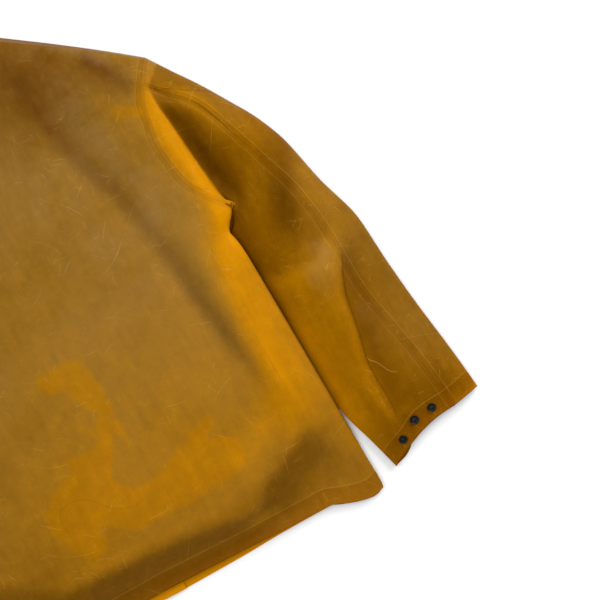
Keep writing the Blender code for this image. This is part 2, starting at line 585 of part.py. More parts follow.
def sleeve_height(plan, puff, hand):
    """Height of the sleeve's upper side before it rounds down to its edges."""
    strength = LEFT_FOLDS if hand < 0 else 1.0
    return puff + strength * rise(SLEEVE_FOLDS, plan[:, 0], plan[:, 1])


def sleeve_section(share, hand):
    """Points round the sleeve at a share of its length: upper side inwards, floor outwards, upper side again."""
    seam_line = np.stack([column(STATIONS, "seam_x"), column(STATIONS, "seam_y")], 1)
    travelled = np.concatenate([[0], np.cumsum(np.linalg.norm(np.diff(seam_line, axis=0), axis=1))])
    at = {f: float(smooth(share * travelled[-1], travelled, column(STATIONS, f))) for f in Station._fields}
    outer, seam = (np.array([at[k + "_x"], at[k + "_y"]]) for k in ("outer", "seam"))
    inner = np.array([float(side("edge_x", at["inner_y"])) + at["tuck"], at["inner_y"]])
    outer_z = SLEEVE_EDGE + (SHOULDER_EDGE - SLEEVE_EDGE) * float(step(1 - share / 0.3))
    inner_z = SLEEVE_EDGE
    b = 1 - (1 - np.linspace(0, 1, ARM_COLUMNS + UNDER_COLUMNS + 1)[:, None]) ** 1.1
    turn = unit(np.array([seam[1] - inner[1], inner[0] - seam[0]]))
    leave = seam + (inner - seam) / 3 + turn * at["bow"] * 4 / 3
    arrive = inner + (at["reach_x"], at["reach_y"])
    under = seam * (1 - b) ** 3 + leave * 3 * b * (1 - b) ** 2 + arrive * 3 * b * b * (1 - b) + inner * b**3
    a = np.linspace(0, 1, CAP_COLUMNS + 1)[:, None] ** 1.3
    cap = outer * (1 - a) + seam * a
    heights = []
    for plan in (under, cap):
        to_outer, to_inner = (np.linalg.norm(plan - point, axis=1) for point in (outer, inner))
        edge = outer_z + (inner_z - outer_z) * to_outer / (to_outer + to_inner)
        swell = np.sin(math.pi / 2 * np.minimum(to_inner / INNER_RAMP, 1))
        round_down = rounded(to_outer, OUTER_RAMP) * swell
        heights.append(edge + (sleeve_height(plan, at["puff"], hand) - edge) * round_down)
    chord = unit(outer - inner)
    floor = np.linspace(inner + chord * 0.006, outer - chord * (outer_z - HALF) * 1.2, SOLE_COLUMNS + 1)
    across = np.linspace(0, 1, SOLE_COLUMNS + 1)
    curve = smooth(across, column(CUFF_RISES, "share"), column(CUFF_RISES, "height"))
    floor[:, 1] += curve * float(step((share - CUFF_START) / (1 - CUFF_START)))
    low = roll_points(floor[0], inner, inner_z)[0]
    high = roll_points(floor[-1], outer, outer_z)[0]
    flat = np.column_stack([floor, np.full(len(floor), HALF)])
    return np.concatenate(
        [np.column_stack([under, heights[0]]), low[::-1], flat, high, np.column_stack([cap, heights[1]])]
    )


def underarm_fold(start, first, hand):
    """Rows between the armhole and the sleeve's first section, turned down along the fold at the underarm."""
    rows = [start.copy()]
    for r in range(1, FOLD_ROWS + 1):
        row = start + (first - start) * r / (FOLD_ROWS + 1)
        for j in range(1, ARM_COLUMNS):
            target = first[j]
            y = start[j, 1] + (target[1] - start[j, 1]) * FOLD_DOWN
            edge = np.array([side("edge_x", y), y])
            edge_z = float(back_height(edge[0] * hand, y))
            crest = (start[j, :2] + edge) / 2
            foot = edge + (target[:2] - edge) * FOLD_FOOT + (FOLD_OVER, 0)
            turned = np.array([
                start[j],
                (*crest, float(back_height(crest[0] * hand, crest[1]))),
                (*edge, edge_z),
                (edge[0] + FOLD_OUT, y - FOLD_OUT, (edge_z + target[2]) / 2),
                (*foot, target[2] + (edge_z - target[2]) * FOLD_FOOT_HEIGHT),
                target,
            ])
            last = len(turned) - 2
            at = min(r, last) + max(r - last, 0) / (FOLD_ROWS + 1 - last)
            profile = [np.interp(at, range(len(turned)), turned[:, k]) for k in range(3)]
            row[j] += (np.array(profile) - row[j]) * float(step(j / FOLD_COLUMNS))
        row[TURN_COLUMN] = UNDERARM_TURN[r - 1]
        rows.append(row)
    rows = np.array([*rows, first])
    inside = slice(1, -1)
    for _ in range(SPREADS):  # the columns between the fold's own and that edge spread evenly
        for j in range(ARM_COLUMNS, TURN_COLUMN):
            rows[inside, j] = (rows[:-2, j] + rows[2:, j] + rows[inside, j - 1] + rows[inside, j + 1]) / 4
    rows[inside, TURN_COLUMN + 1] = rows[inside, TURN_COLUMN] * 2 - rows[inside, TURN_COLUMN - 1]
    return rows[inside]


def sleeve(hand, cloth, metal):
    """A sleeve of two pieces, parted at the seam that shows and at one on the floor, with its snaps."""
    name = "left" if hand < 0 else "right"
    start, start_normal = armhole(hand)
    under = ARM_COLUMNS + UNDER_COLUMNS
    sole = under + ROLL_STEPS + 1
    sections = [sleeve_section(share, hand) for share in np.linspace(0, 1, SLEEVE_RINGS)]
    middle = np.array([start, *underarm_fold(start, sections[0], hand), *sections])
    wrapped = np.concatenate([middle[:, -2:-1], middle, middle[:, 1:2]], axis=1)
    normal = grid_normals(wrapped)[:, 1:-1]
    normal[0] = start_normal
    normal[:, sole : sole + SOLE_COLUMNS + 1] = -UP
    hidden_seam = sole + SOLE_COLUMNS // 2
    used = np.ones(np.array(middle.shape[:2]) - 1, bool)
    used[: FOLD_ROWS + 1, TURN_COLUMN : sole + 1] = False  # open where the fold at the underarm hides it
    for part, columns in (("under", slice(0, hidden_seam + 1)), ("upper", slice(hidden_seam, None))):
        points, out = middle[:, columns].copy(), normal[:, columns]
        draw_in(points[0], points[1])
        if part == "under":
            draw_in(points[0, ARM_COLUMNS:under], points[1, ARM_COLUMNS:under], UNDERARM_GAP)
        draw_in(points[:, 0], points[:, 1])
        draw_in(points[:, -1], points[:, -2])
        piece = wall(f"sleeve_{name}_{part}", points, out, used[:, columns], cloth, hand)
        if part == "under":
            for k, place in enumerate(SNAPS, 1):
                snap(f"snap_{name}_{k}", piece, place, hand, metal)


def snap(name, sleeve_piece, place, hand, material):
    """A snap's cap, square to the sleeve where it sits and just clear of it."""
    mesh = sleeve_piece.data
    tree = BVHTree.FromPolygons([v.co for v in mesh.vertices], [p.vertices for p in mesh.polygons])
    above = Vector((place[0] * hand, place[1] + Y_SHIFT, 1.0))
    seat, up, _, _ = tree.ray_cast(above, Vector((0, 0, -1)))
    turn = up.to_track_quat("Z", "Y").to_matrix()
    angles = np.linspace(0, 2 * math.pi, SNAP_SIDES, endpoint=False)
    clear = 0.0
    for angle in angles:
        rim = seat + turn @ Vector((SNAP_RADIUS * math.cos(angle), SNAP_RADIUS * math.sin(angle), 0))
        found = tree.ray_cast(rim + up * 0.02, -up)
        clear = max(clear, 0.02 - found[3])
    base = seat + up * (clear + SNAP_LIFT)
    profile = [
        (SNAP_RADIUS, 0.0),
        (SNAP_RADIUS, SNAP_DOME - SNAP_RIM),
        (SNAP_RADIUS - SNAP_RIM / 2, SNAP_DOME),
        (SNAP_RADIUS - SNAP_RIM * 1.6, SNAP_DOME - SNAP_RIM / 2),
    ]
    points = [base + turn @ Vector((r * math.cos(a), r * math.sin(a), h)) for r, h in profile for a in angles]
    points.append(base + up * SNAP_DOME * 0.9)
    rings = np.arange(len(profile) * SNAP_SIDES).reshape(len(profile), SNAP_SIDES)
    ahead = np.roll(rings, -1, axis=1)
    faces = [tuple(rings[0, ::-1])]
    faces += [
        (rings[i, k], ahead[i, k], ahead[i + 1, k], rings[i + 1, k])
        for i in range(len(profile) - 1)
        for k in range(SNAP_SIDES)
    ]
    faces += [(rings[-1, k], ahead[-1, k], len(points) - 1) for k in range(SNAP_SIDES)]
    placed = np.array([tuple(p) for p in points]) - (0, Y_SHIFT, 0)
    add(name, placed, faces, material)


def main():
    for obj in list(bpy.data.objects):
        bpy.data.objects.remove(obj)
    cloth = finish("coated cloth", (0.42, 0.19, 0.02), 0.42)
    cap = finish("black snap", (0.015, 0.015, 0.02), 0.35)
    back_panel(cloth)
    front_panel("front_right", 1, cloth)
    front_panel("front_left", -1, cloth)
    collar(cloth)
    for hand in (1, -1):
        sleeve(hand, cloth, cap)


main()
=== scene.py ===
# %% [markdown]
# # A coated jacket, laid on its front
#
# The real thing is a long jacket of smooth cloth with a thick see-through coat, laid on its front on a table.
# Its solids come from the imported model. Each cloth piece gets a finer sheet here, on the same sizes.

# %% Load the frame
import math
from collections import namedtuple

import bpy
import numpy as np
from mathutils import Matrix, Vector


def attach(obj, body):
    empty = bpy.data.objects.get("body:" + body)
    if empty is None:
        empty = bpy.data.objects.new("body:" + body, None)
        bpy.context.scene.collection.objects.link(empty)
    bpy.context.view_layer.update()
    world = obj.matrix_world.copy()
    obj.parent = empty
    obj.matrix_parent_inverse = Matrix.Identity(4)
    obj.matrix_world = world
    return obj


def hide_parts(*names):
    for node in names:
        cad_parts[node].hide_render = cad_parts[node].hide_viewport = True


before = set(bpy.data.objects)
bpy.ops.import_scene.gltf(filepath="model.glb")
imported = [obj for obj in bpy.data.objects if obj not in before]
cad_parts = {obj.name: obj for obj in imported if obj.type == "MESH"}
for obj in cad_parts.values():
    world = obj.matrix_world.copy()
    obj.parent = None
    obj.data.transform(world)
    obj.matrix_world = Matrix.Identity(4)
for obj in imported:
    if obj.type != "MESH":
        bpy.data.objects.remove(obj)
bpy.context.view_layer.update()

# %% [markdown]
# ## Sizes
#
# The jacket was measured once, so every sheet reads the same named sizes as the solids. What changes is how
# finely a sheet is divided: light shows a soft fold only where the sheet has a point every few millimetres.

# %% Sizes that more than one piece reads, in metres
CLOTH = 0.002  # space that the cloth takes up
HALF = CLOTH / 2  # the middle of the cloth lies this far above the table
SKIN = 0.0005  # half the cloth's own thickness
DRAWN_IN = 0.00003  # how far the sheets stay from the middle of their seams
Y_SHIFT = -0.4270  # from the hem's middle to the frame's origin
FAR = 1.0  # a distance longer than any on the jacket
NECK_X, NECK_Y = 0.093, 0.798  # where the shoulder line meets the neck
BACK_NECK_Y, BACK_NECK_TOP = 0.776, 0.788
FRONT_NECK_Y, FRONT_NECK_TOP = 0.712, 0.786
SHOULDER_X, SHOULDER_Y = 0.3023, 0.6473  # where the shoulder line meets the sleeve
SHOULDER_EDGE, SHOULDER_RAMP, SHOULDER_ROLL = 0.009, 0.060, 0.012
OVERLAP = 0.020  # each front passes the centre by this much
LAP_STEP = 0.002  # from the lap's edge to a front's next column
PLATEAU = 0.046  # height of the back over most of the body
LEFT_FOLDS = 0.75  # folds of the left half against those of the right
UP = np.array([0.0, 0.0, 1.0])

# %% How finely the sheets are divided
SIDE_ROWS = 84
ROW_CLOSENESS = 1.2  # above 1, the rows lie closer together at the hem
EDGE_CLOSENESS = 1.3  # above 1, the columns lie closer together at a rounded edge
FLAT_COLUMNS, NECK_COLUMNS = 44, 14
ROLL_STEPS = 7
STRIP_COLUMNS = 9
CAP_COLUMNS, ARM_COLUMNS, UNDER_COLUMNS = 12, 34, 9
SOLE_COLUMNS = 24
PATH_STEPS = 16

# %% Tables of the body's pattern
Side = namedtuple("Side", "y edge_x edge_z roll ramp seam_x")
SIDES = [  # the side's outermost line and its height, how far inside the floor line lies, ramp, side seam
    Side(-0.003, 0.3140, 0.0065, 0.009, 0.090, 0.2437),
    Side(0.004, 0.3150, 0.0067, 0.010, 0.090, 0.2450),
    Side(0.050, 0.3128, 0.0085, 0.013, 0.085, 0.2560),
    Side(0.100, 0.3110, 0.0120, 0.018, 0.075, 0.2680),
    Side(0.200, 0.3065, 0.0180, 0.025, 0.065, 0.2630),
    Side(0.300, 0.3020, 0.0220, 0.028, 0.060, 0.2600),
    Side(0.360, 0.2988, 0.0235, 0.028, 0.057, 0.2610),
    Side(0.380, 0.2957, 0.0240, 0.029, 0.055, 0.2630),
    Side(0.389, 0.2930, 0.0240, 0.030, 0.052, 0.2640),
    Side(0.419, 0.3100, 0.0240, 0.030, 0.048, 0.2670),
    Side(0.434, 0.3065, 0.0245, 0.030, 0.045, 0.2700),
    Side(0.460, 0.3022, 0.0250, 0.030, 0.042, 0.2779),
    Side(0.532, 0.2935, 0.0280, 0.030, 0.036, 0.2779),
    Side(0.572, 0.2882, 0.0320, 0.030, 0.032, 0.2779),
    Side(0.611, 0.2850, 0.0480, 0.030, 0.030, 0.2779),
    Side(0.800, 0.2850, 0.0480, 0.030, 0.030, 0.2779),
]
Hem = namedtuple("Hem", "x back_y front_y lift flat ramp")
HEMS = [  # lower edges of back and front, the back's height there, how far it stays low, and its ramp
    Hem(0.0000, 0.0122, 0.0000, 0.0100, 0.000, 0.075),
    Hem(0.1086, 0.0104, 0.0020, 0.0095, 0.000, 0.070),
    Hem(0.1712, 0.0088, 0.0046, 0.0085, 0.006, 0.075),
    Hem(0.2401, 0.0077, 0.0055, 0.0072, 0.020, 0.090),
    Hem(0.2593, 0.0012, 0.0030, 0.0066, 0.028, 0.100),
    Hem(0.2800, -0.0053, -0.0020, 0.0065, 0.030, 0.110),
    Hem(0.2996, -0.0081, -0.0050, 0.0065, 0.030, 0.120),
    Hem(0.3140, -0.0030, -0.0030, 0.0065, 0.030, 0.120),
]
Armhole = namedtuple("Armhole", "x y")
BACK_ARMHOLE = [  # from the shoulder to the top of the side seam, over the back
    Armhole(SHOULDER_X, SHOULDER_Y),
    Armhole(0.2817, 0.6115),
    Armhole(0.2699, 0.5891),
    Armhole(0.2663, 0.5653),
    Armhole(0.2619, 0.5315),
    Armhole(0.2648, 0.5048),
    Armhole(0.2700, 0.4787),
    Armhole(0.2779, 0.4594),
]
UNDERARM = Armhole(0.3100, 0.4190)
UNDER_SHARES = (*np.linspace(0, 0.85, UNDER_COLUMNS)[1:], 1.0)  # columns from the side seam to the underarm
FRONT_ARMHOLE = [  # from the underarm to the shoulder, on the floor
    Armhole(0.2797, 0.4120),
    Armhole(0.2600, 0.4550),
    Armhole(0.2580, 0.5200),
    Armhole(0.2660, 0.5800),
    Armhole(0.2920, 0.6380),
]
STAR = 1  # the row of BACK_ARMHOLE where the sleeve's back seam and the folds meet
SHOULDER_LINE = [  # the shoulder's outermost line, from over the neck to past the armhole
    (0.0, BACK_NECK_Y + 0.03),
    (NECK_X, NECK_Y),
    (0.143, 0.7622),
    (0.2092, 0.7164),
    (0.2637, 0.6769),
    (SHOULDER_X, SHOULDER_Y),
    (0.36, 0.60),
]

# %% [markdown]
# ## Curves and folds
#
# Between the rows of a table the cloth follows a monotone cubic. A spline would swell past the measured values
# and put waves into a straight side. A fold could be sculpted, but a soft ridge or trough along a short path
# needs only a few numbers, and the same fold can be mirrored, moved or made weaker.


# %% Curves
def smooth(at, knots, values):
    """A curve through the values that never overshoots them (monotone cubic)."""
    at, knots, values = (np.asarray(a, float) for a in (at, knots, values))
    width = np.diff(knots)
    slope = np.diff(values) / width
    rate = np.zeros(len(knots))
    rate[0], rate[-1] = slope[0], slope[-1]
    same = slope[:-1] * slope[1:] > 0
    w1, w2 = 2 * width[1:] + width[:-1], width[1:] + 2 * width[:-1]
    safe = np.where(same, slope[:-1], 1.0), np.where(same, slope[1:], 1.0)
    rate[1:-1] = np.where(same, (w1 + w2) / (w1 / safe[0] + w2 / safe[1]), 0.0)
    at = np.clip(at, knots[0], knots[-1])
    k = np.clip(np.searchsorted(knots, at, side="right") - 1, 0, len(knots) - 2)
    t = (at - knots[k]) / width[k]
    return (
        values[k] * (1 + 2 * t) * (1 - t) ** 2
        + values[k + 1] * t * t * (3 - 2 * t)
        + width[k] * rate[k] * t * (1 - t) ** 2
        - width[k] * rate[k + 1] * t * t * (1 - t)
    )


def unit(v):
    return v / np.maximum(np.linalg.norm(v, axis=-1, keepdims=True), 1e-12)


def column(table, name):
    return np.array([getattr(row, name) for row in table])


def side(name, y):
    return smooth(y, column(SIDES, "y"), column(SIDES, name))


def hem(name, x):
    return smooth(np.abs(x), column(HEMS, "x"), column(HEMS, name))


def step(t):
    t = np.clip(t, 0.0, 1.0)
    return t * t * (3 - 2 * t)


def rounded(distance, width):
    """Rises from 0 at an edge like a quarter of an ellipse, to 1 at that width."""
    t = np.clip(1 - distance / width, 0.0, 1.0)
    return np.sqrt(np.maximum(1 - t * t, 0.0))


def along(points, count):
    """Count + 1 points at even distances along a smooth line through the given ones."""
    points = np.array(points, float)
    travelled = np.concatenate([[0], np.cumsum(np.linalg.norm(np.diff(points, axis=0), axis=1))])
    at = np.linspace(0, travelled[-1], count + 1)
    return np.stack([smooth(at, travelled, points[:, k]) for k in range(2)], axis=1)


# %% Folds
Fold = namedtuple("Fold", "name left right rise path")  # left and right are its widths, seen along the path
FADE = 0.25  # a fold fades in and out over this share of its path


def beside(path, x, y):
    """How far plan points lie from a path, what share of it they have passed, and above 0 on its left."""
    lengths = np.linalg.norm(np.diff(path, axis=0), axis=1)
    shape = np.broadcast(x, y).shape
    nearest, share, turn = np.full(shape, np.inf), np.zeros(shape), np.zeros(shape)
    for k, length in enumerate(lengths):
        ux, uy = (path[k + 1] - path[k]) / length
        dx, dy = x - path[k, 0], y - path[k, 1]
        t = np.clip(dx * ux + dy * uy, 0, length)
        away = np.hypot(dx - t * ux, dy - t * uy)
        closer = away < nearest
        nearest = np.where(closer, away, nearest)
        share = np.where(closer, (lengths[:k].sum() + t) / lengths.sum(), share)
        turn = np.where(closer, ux * dy - uy * dx, turn)
    return nearest, share, turn


def faded(share, over):
    """0 at both ends of a path and 1 between, where each end takes this share of it."""
    return step(share / over) * step((1 - share) / over)


def rise(folds, x, y):
    """What the folds add at plan points x, y."""
    total = np.zeros(np.broadcast(x, y).shape)
    for fold in folds:
        away, share, turn = beside(along(fold.path, PATH_STEPS), x, y)
        width = np.where(turn > 0, fold.left, fold.right)
        total += fold.rise * faded(share, FADE) * np.exp(-((away / width) ** 2))
    return total


# %% [markdown]
# ## The laid form
#
# The back lies on the air in the jacket and rounds down to its sides, shoulders and hem, as a cloth does over a
# low cushion. A cloth simulation could find such a form, but not the one in the photograph. So the height is
# worked out for any point, and the back, the fronts and the sleeves that read it meet exactly.

# %% Heights of the back
DOME_START, DOME_LENGTH, DOME_DROP = 0.45, 0.30, 0.010  # towards the shoulders the back sinks by this much
SWELL_HEIGHT, SWELL_TURNS, SWELL_START = 0.003, 9.0, 0.2  # the middle of the back stands a little higher
ACROSS_SHOULDER = 0.81  # distance to the sloping shoulder line against the distance along y
BODY_FOLDS = [
    Fold("side ridge", 0.026, 0.030, 0.007, ((0.262, 0.12), (0.252, 0.25), (0.245, 0.36), (0.240, 0.45))),
    Fold("long trough", 0.022, 0.018, -0.004, (
        (0.148, 0.68), (0.160, 0.58), (0.180, 0.51), (0.205, 0.44), (0.216, 0.34), (0.230, 0.19),
    )),
    Fold("shoulder blade", 0.030, 0.026, 0.005, ((0.190, 0.66), (0.215, 0.58), (0.225, 0.50))),
    Fold("corner slope", 0.020, 0.022, -0.010, ((0.215, 0.02), (0.255, 0.07), (0.268, 0.12))),
    Fold("pull to the sleeve", 0.014, 0.016, -0.004, (
        (0.150, 0.735), (0.215, 0.695), (0.262, 0.645), (0.282, 0.612),
    )),
]


def shoulder_y(x):
    """The shoulder's outermost line."""
    return smooth(np.abs(x), *np.transpose(SHOULDER_LINE))


def back_height(x, y):
    """Height of the middle of the cloth over the back, out to the side's outermost line."""
    far = np.abs(x)
    strength = np.where(x < 0, LEFT_FOLDS, 1.0)
    swell = SWELL_HEIGHT * np.cos(far * SWELL_TURNS) * step(y / SWELL_START)
    dome = PLATEAU - DOME_DROP * step((y - DOME_START) / DOME_LENGTH) + swell
    height = dome + strength * rise(BODY_FOLDS, far, y)
    edge = np.minimum(side("edge_z", y), height)
    height = edge + (height - edge) * rounded(side("edge_x", y) - far, side("ramp", y))
    to_shoulder = np.maximum(shoulder_y(far) - y, 0) * ACROSS_SHOULDER
    height = SHOULDER_EDGE + (height - SHOULDER_EDGE) * rounded(to_shoulder, SHOULDER_RAMP)
    lift = hem("lift", far)
    above_hem = (y - hem("back_y", far) - hem("flat", far)) / hem("ramp", far)
    return lift + (height - lift) * step(above_hem)


def back_normal(x, y, hand=1):
    """Upward normal of the back, from the slopes a little inside."""
    near = 0.001
    inward = np.minimum(np.abs(x), side("edge_x", y) - 2 * near) * np.sign(x) * hand
    slope_x = (back_height(inward + near, y) - back_height(inward - near, y)) / (2 * near) * hand
    slope_y = (back_height(inward, y + near) - back_height(inward, y - near)) / (2 * near)
    return unit(np.stack([-slope_x, -slope_y, np.ones_like(slope_x)], axis=-1))


def with_height(plan, hand=1):
    """Plan points on the back. hand is -1 for a left piece, which is built as a right one and mirrored."""
    return np.concatenate([plan, back_height(plan[..., 0] * hand, plan[..., 1])[..., None]], axis=-1)


heights = back_height(np.zeros(5), np.linspace(0.0, 0.7, 5))
print("height of the back from the hem to the neck, in mm:", np.round(heights * 1000, 1))

# %% The rolled edge, and the ring of the armhole
UNDERARM_OUT = (1.0, 0.0, 0.15)  # the way that the cloth faces at the underarm
SHOULDER_OUT = (0.5, 0.85, 0.2)  # and at the shoulder's end


def roll_points(floor, edge, edge_z, out=None):
    """Points and normals from the floor line round to the outermost line, both ends left out."""
    floor, edge = np.array(floor[:2]), np.array(edge[:2])
    angle = math.pi / 2 * np.arange(1, ROLL_STEPS + 1)[:, None] / (ROLL_STEPS + 1)
    plan = floor + (edge - floor) * np.sin(angle)
    height = HALF + (edge_z - HALF) * (1 - np.cos(angle))
    outward = unit(np.append(edge - floor, 0)) if out is None else unit(np.array(out, float))
    return np.concatenate([plan, height], 1), unit(outward * np.sin(angle) - UP * np.cos(angle))


def grid_normals(points):
    """Normals of a grid whose cells face the way its columns turn towards its rows."""
    return unit(np.cross(np.gradient(points, axis=1), np.gradient(points, axis=0)))


def armhole(hand):
    """Points and outward normals round the armhole: back, underarm, roll, front, roll, shoulder, back."""
    arm = along(BACK_ARMHOLE[STAR:], ARM_COLUMNS)
    top, crotch = np.array(BACK_ARMHOLE[-1]), np.array(UNDERARM)
    under = top + (crotch - top) * np.array(UNDER_SHARES)[:, None]
    sole = along(FRONT_ARMHOLE, SOLE_COLUMNS)
    cap = along(BACK_ARMHOLE[: STAR + 1], CAP_COLUMNS)
    over = with_height(np.concatenate([arm, under]), hand)
    over_normal = back_normal(over[:, 0], over[:, 1], hand)
    over_normal[-1] = unit(np.array(UNDERARM_OUT))
    low, low_normal = roll_points(sole[0], UNDERARM, over[-1, 2])
    high, high_normal = roll_points(sole[-1], cap[0], SHOULDER_EDGE)
    flat = np.column_stack([sole, np.full(len(sole), HALF)])
    shoulder = with_height(cap, hand)
    shoulder_normal = back_normal(cap[:, 0], cap[:, 1], hand)
    shoulder_normal[0] = unit(np.array(SHOULDER_OUT))
    points = np.concatenate([over, low[::-1], flat, high, shoulder])
    down = np.tile(-UP, (len(sole), 1))
    return points, np.concatenate([over_normal, low_normal[::-1], down, high_normal, shoulder_normal])


print("points round the armhole:", len(armhole(1)[0]))


# %% Lines of the neck, the shoulder seam and the sides
def front_neck_y(x, width=NECK_X, low=FRONT_NECK_Y, high=FRONT_NECK_TOP):
    """Front edge of the neck, or of the collar: straight where the fronts lap, then curving up to its side."""
    return high - (high - low) * rounded(width - np.abs(x), width - OVERLAP - LAP_STEP)


def back_neck_y(x):
    return BACK_NECK_TOP - (BACK_NECK_TOP - BACK_NECK_Y) * rounded(NECK_X - np.abs(x), NECK_X)


def shoulder_seam(hand):
    """The shoulder seam, a little behind the shoulder's outermost line, one point for each column."""
    last = armhole(hand)[0][-CAP_COLUMNS]
    x = np.linspace(NECK_X, last[0], FLAT_COLUMNS - NECK_COLUMNS + 1)
    far = step((x - NECK_X) / (last[0] - NECK_X))
    behind = NECK_Y - BACK_NECK_TOP + (shoulder_y(last[0]) - last[1] - NECK_Y + BACK_NECK_TOP) * far
    return with_height(np.stack([x, shoulder_y(x) - behind], 1), hand)


def seam_rows():
    """Heights y of the rows on the side's outermost line, and on the side seam."""
    share = np.linspace(0, 1, SIDE_ROWS + 1) ** ROW_CLOSENESS
    low, high = float(hem("back_y", SIDES[0].seam_x)), BACK_ARMHOLE[-1].y
    return SIDES[0].y + (UNDERARM.y - SIDES[0].y) * share, low + (high - low) * share


# %% [markdown]
# ## From a grid to a sheet
#
# Real cloth is a thin wall, so a sheet has two faces and a rim. Solidify could make it from a surface. It is
# made here directly, because its points also keep their distances from seams and hems, as a pattern cutter
# marks them. The material reads those back, so a tape or a hem stays sharp on quite a coarse grid.

# %% One sheet of cloth from a grid of middle points
SHARP_ANGLE = math.radians(60)  # faces that meet at more than this keep a sharp edge between them
sheets = {}


def distance_to(points, line):
    """How far each point lies from a line through the given places."""
    best = np.full(len(points), FAR)
    for a, b in zip(line[:-1], line[1:], strict=True):
        along_line = b - a
        t = np.clip((points - a) @ along_line / max(along_line @ along_line, 1e-12), 0, 1)
        best = np.minimum(best, np.linalg.norm(points - a - t[:, None] * along_line, axis=1))
    return best


def wall(name, middle, normal, marks, hand=1, used=None):
    """A sheet round a grid of middle points, over all its cells or those used, with marks on its points."""
    rows, columns = middle.shape[:2]
    index = np.arange(rows * columns).reshape(rows, columns)
    a, b, c, d = index[:-1, :-1], index[:-1, 1:], index[1:, 1:], index[1:, :-1]
    cells = np.stack([a, b, c, d], -1)
    cells = cells.reshape(-1, 4) if used is None else cells[used[: rows - 1, : columns - 1]]
    sides = np.concatenate([cells[:, [0, 1]], cells[:, [1, 2]], cells[:, [2, 3]], cells[:, [3, 0]]])
    pairs = {(int(p), int(q)) for p, q in sides}
    rims = np.array(sorted((p, q) for p, q in pairs if (q, p) not in pairs))
    keep = np.unique(cells)
    new = np.zeros(rows * columns, int)
    new[keep] = np.arange(len(keep))
    count = len(keep)
    cells, rims = new[cells], new[rims]
    rim_faces = np.stack([rims[:, 1], rims[:, 0], rims[:, 0] + count, rims[:, 1] + count], 1)
    faces = np.concatenate([cells, cells[:, ::-1] + count, rim_faces])[:, ::hand]
    centre, out = middle.reshape(-1, 3)[keep], normal.reshape(-1, 3)[keep]
    points = np.concatenate([centre + out * SKIN, centre - out * SKIN]) * (hand, 1, 1) + (0, Y_SHIFT, 0)
    mesh = bpy.data.meshes.new(name)
    mesh.from_pydata(points.tolist(), [], faces.tolist())
    for mark, values in marks.items():
        layer = mesh.attributes.new(mark, "FLOAT", "POINT")
        values = np.broadcast_to(values, (rows, columns)).reshape(-1)[keep]
        layer.data.foreach_set("value", np.tile(values, 2).astype(np.float32))
    mesh.shade_smooth()
    mesh.set_sharp_from_angle(angle=SHARP_ANGLE)
    sheet = bpy.data.objects.new(name, mesh)
    bpy.context.scene.collection.objects.link(sheet)
    sheets[name] = sheet
    print(name, "faces:", len(faces))


def draw_in(edge, inside):
    """Moves the points of an edge a little towards those inside it."""
    edge += unit(inside - edge) * DRAWN_IN


# %% [markdown]
# ## Painted light and shade, painted sheen, stuck patches and drawn lines
#
# Light gets into the real cloth and comes out again, so that it glows on the folds and looks dark in the
# hollows. That can't be worked out from its shape alone, so it is painted: each point also keeps a tone of
# painted light and shade, a share of painted grey sheen and a painted pale sheen, both the overhead light's
# reflection, written with the same kind of table as the folds. Where the coats of two layers stick together, a
# patch shows, drawn as a few tapered strokes.

# %% Patches and lines on the cloth
Stroke = namedtuple("Stroke", "x0 y0 r0 x1 y1 r1")
LINE_ENDS = 0.08  # a drawn line fades in and out over this share of its length


def trace(x, y, line):
    """Distance to a line, below zero on its right, and how strong it is there."""
    away, share, turn = beside(along(line, PATH_STEPS * 2), x, y)
    return np.where(turn < 0, -away, away), faded(share, LINE_ENDS)


def patch_distance(strokes, x, y):
    """Distance to the edge of patches drawn as tapered strokes, below zero inside them."""
    best = np.full(x.shape, FAR)
    for s in strokes:
        dx, dy = s.x1 - s.x0, s.y1 - s.y0
        t = np.clip(((x - s.x0) * dx + (y - s.y0) * dy) / (dx * dx + dy * dy), 0, 1)
        best = np.minimum(best, np.hypot(x - s.x0 - t * dx, y - s.y0 - t * dy) - (s.r0 + (s.r1 - s.r0) * t))
    return best


# %% Painted light, shade and sheen of the body
BODY_TONE, UPPER_TONE = 0.60, 0.09  # the body's plain tone, and how much darker it is above the middle
UPPER_START, UPPER_LENGTH = 0.30, 0.40
HEM_SHEEN, HEM_START, HEM_LENGTH = 0.4, 0.02, 0.36  # the hem has less painted sheen than the cloth higher up
LIGHT_SIDE_SHEEN_LOSS, LIGHT_FULL = 0.8, 0.25  # the light sides lose this share of their painted sheen
SIDE_LIGHT_AND_SHADE = [  # painted light and shade where the sides look lighter or darker than around, as shares of all tones
    Fold("light side", 0.052, 0.026, 0.23, (
        (0.280, 0.440), (0.276, 0.370), (0.270, 0.300), (0.262, 0.230), (0.252, 0.160), (0.244, 0.080),
    )),
    Fold("light fold", 0.030, 0.020, 0.34, (
        (0.277, 0.650), (0.284, 0.590), (0.284, 0.540), (0.291, 0.480), (0.300, 0.425), (0.292, 0.330),
    )),
    Fold("long trough", 0.014, 0.011, -0.20, (
        (0.140, 0.745), (0.142, 0.662), (0.153, 0.609), (0.163, 0.559), (0.188, 0.497), (0.201, 0.443),
        (0.210, 0.393), (0.216, 0.340), (0.229, 0.270), (0.243, 0.202), (0.264, 0.115),
    )),
    Fold("corner slope", 0.012, 0.042, -0.27, ((0.158, 0.030), (0.186, 0.068), (0.238, 0.095), (0.270, 0.118))),
    Fold("light by the corner", 0.024, 0.018, 0.11, ((0.150, 0.105), (0.195, 0.130), (0.235, 0.158))),
]
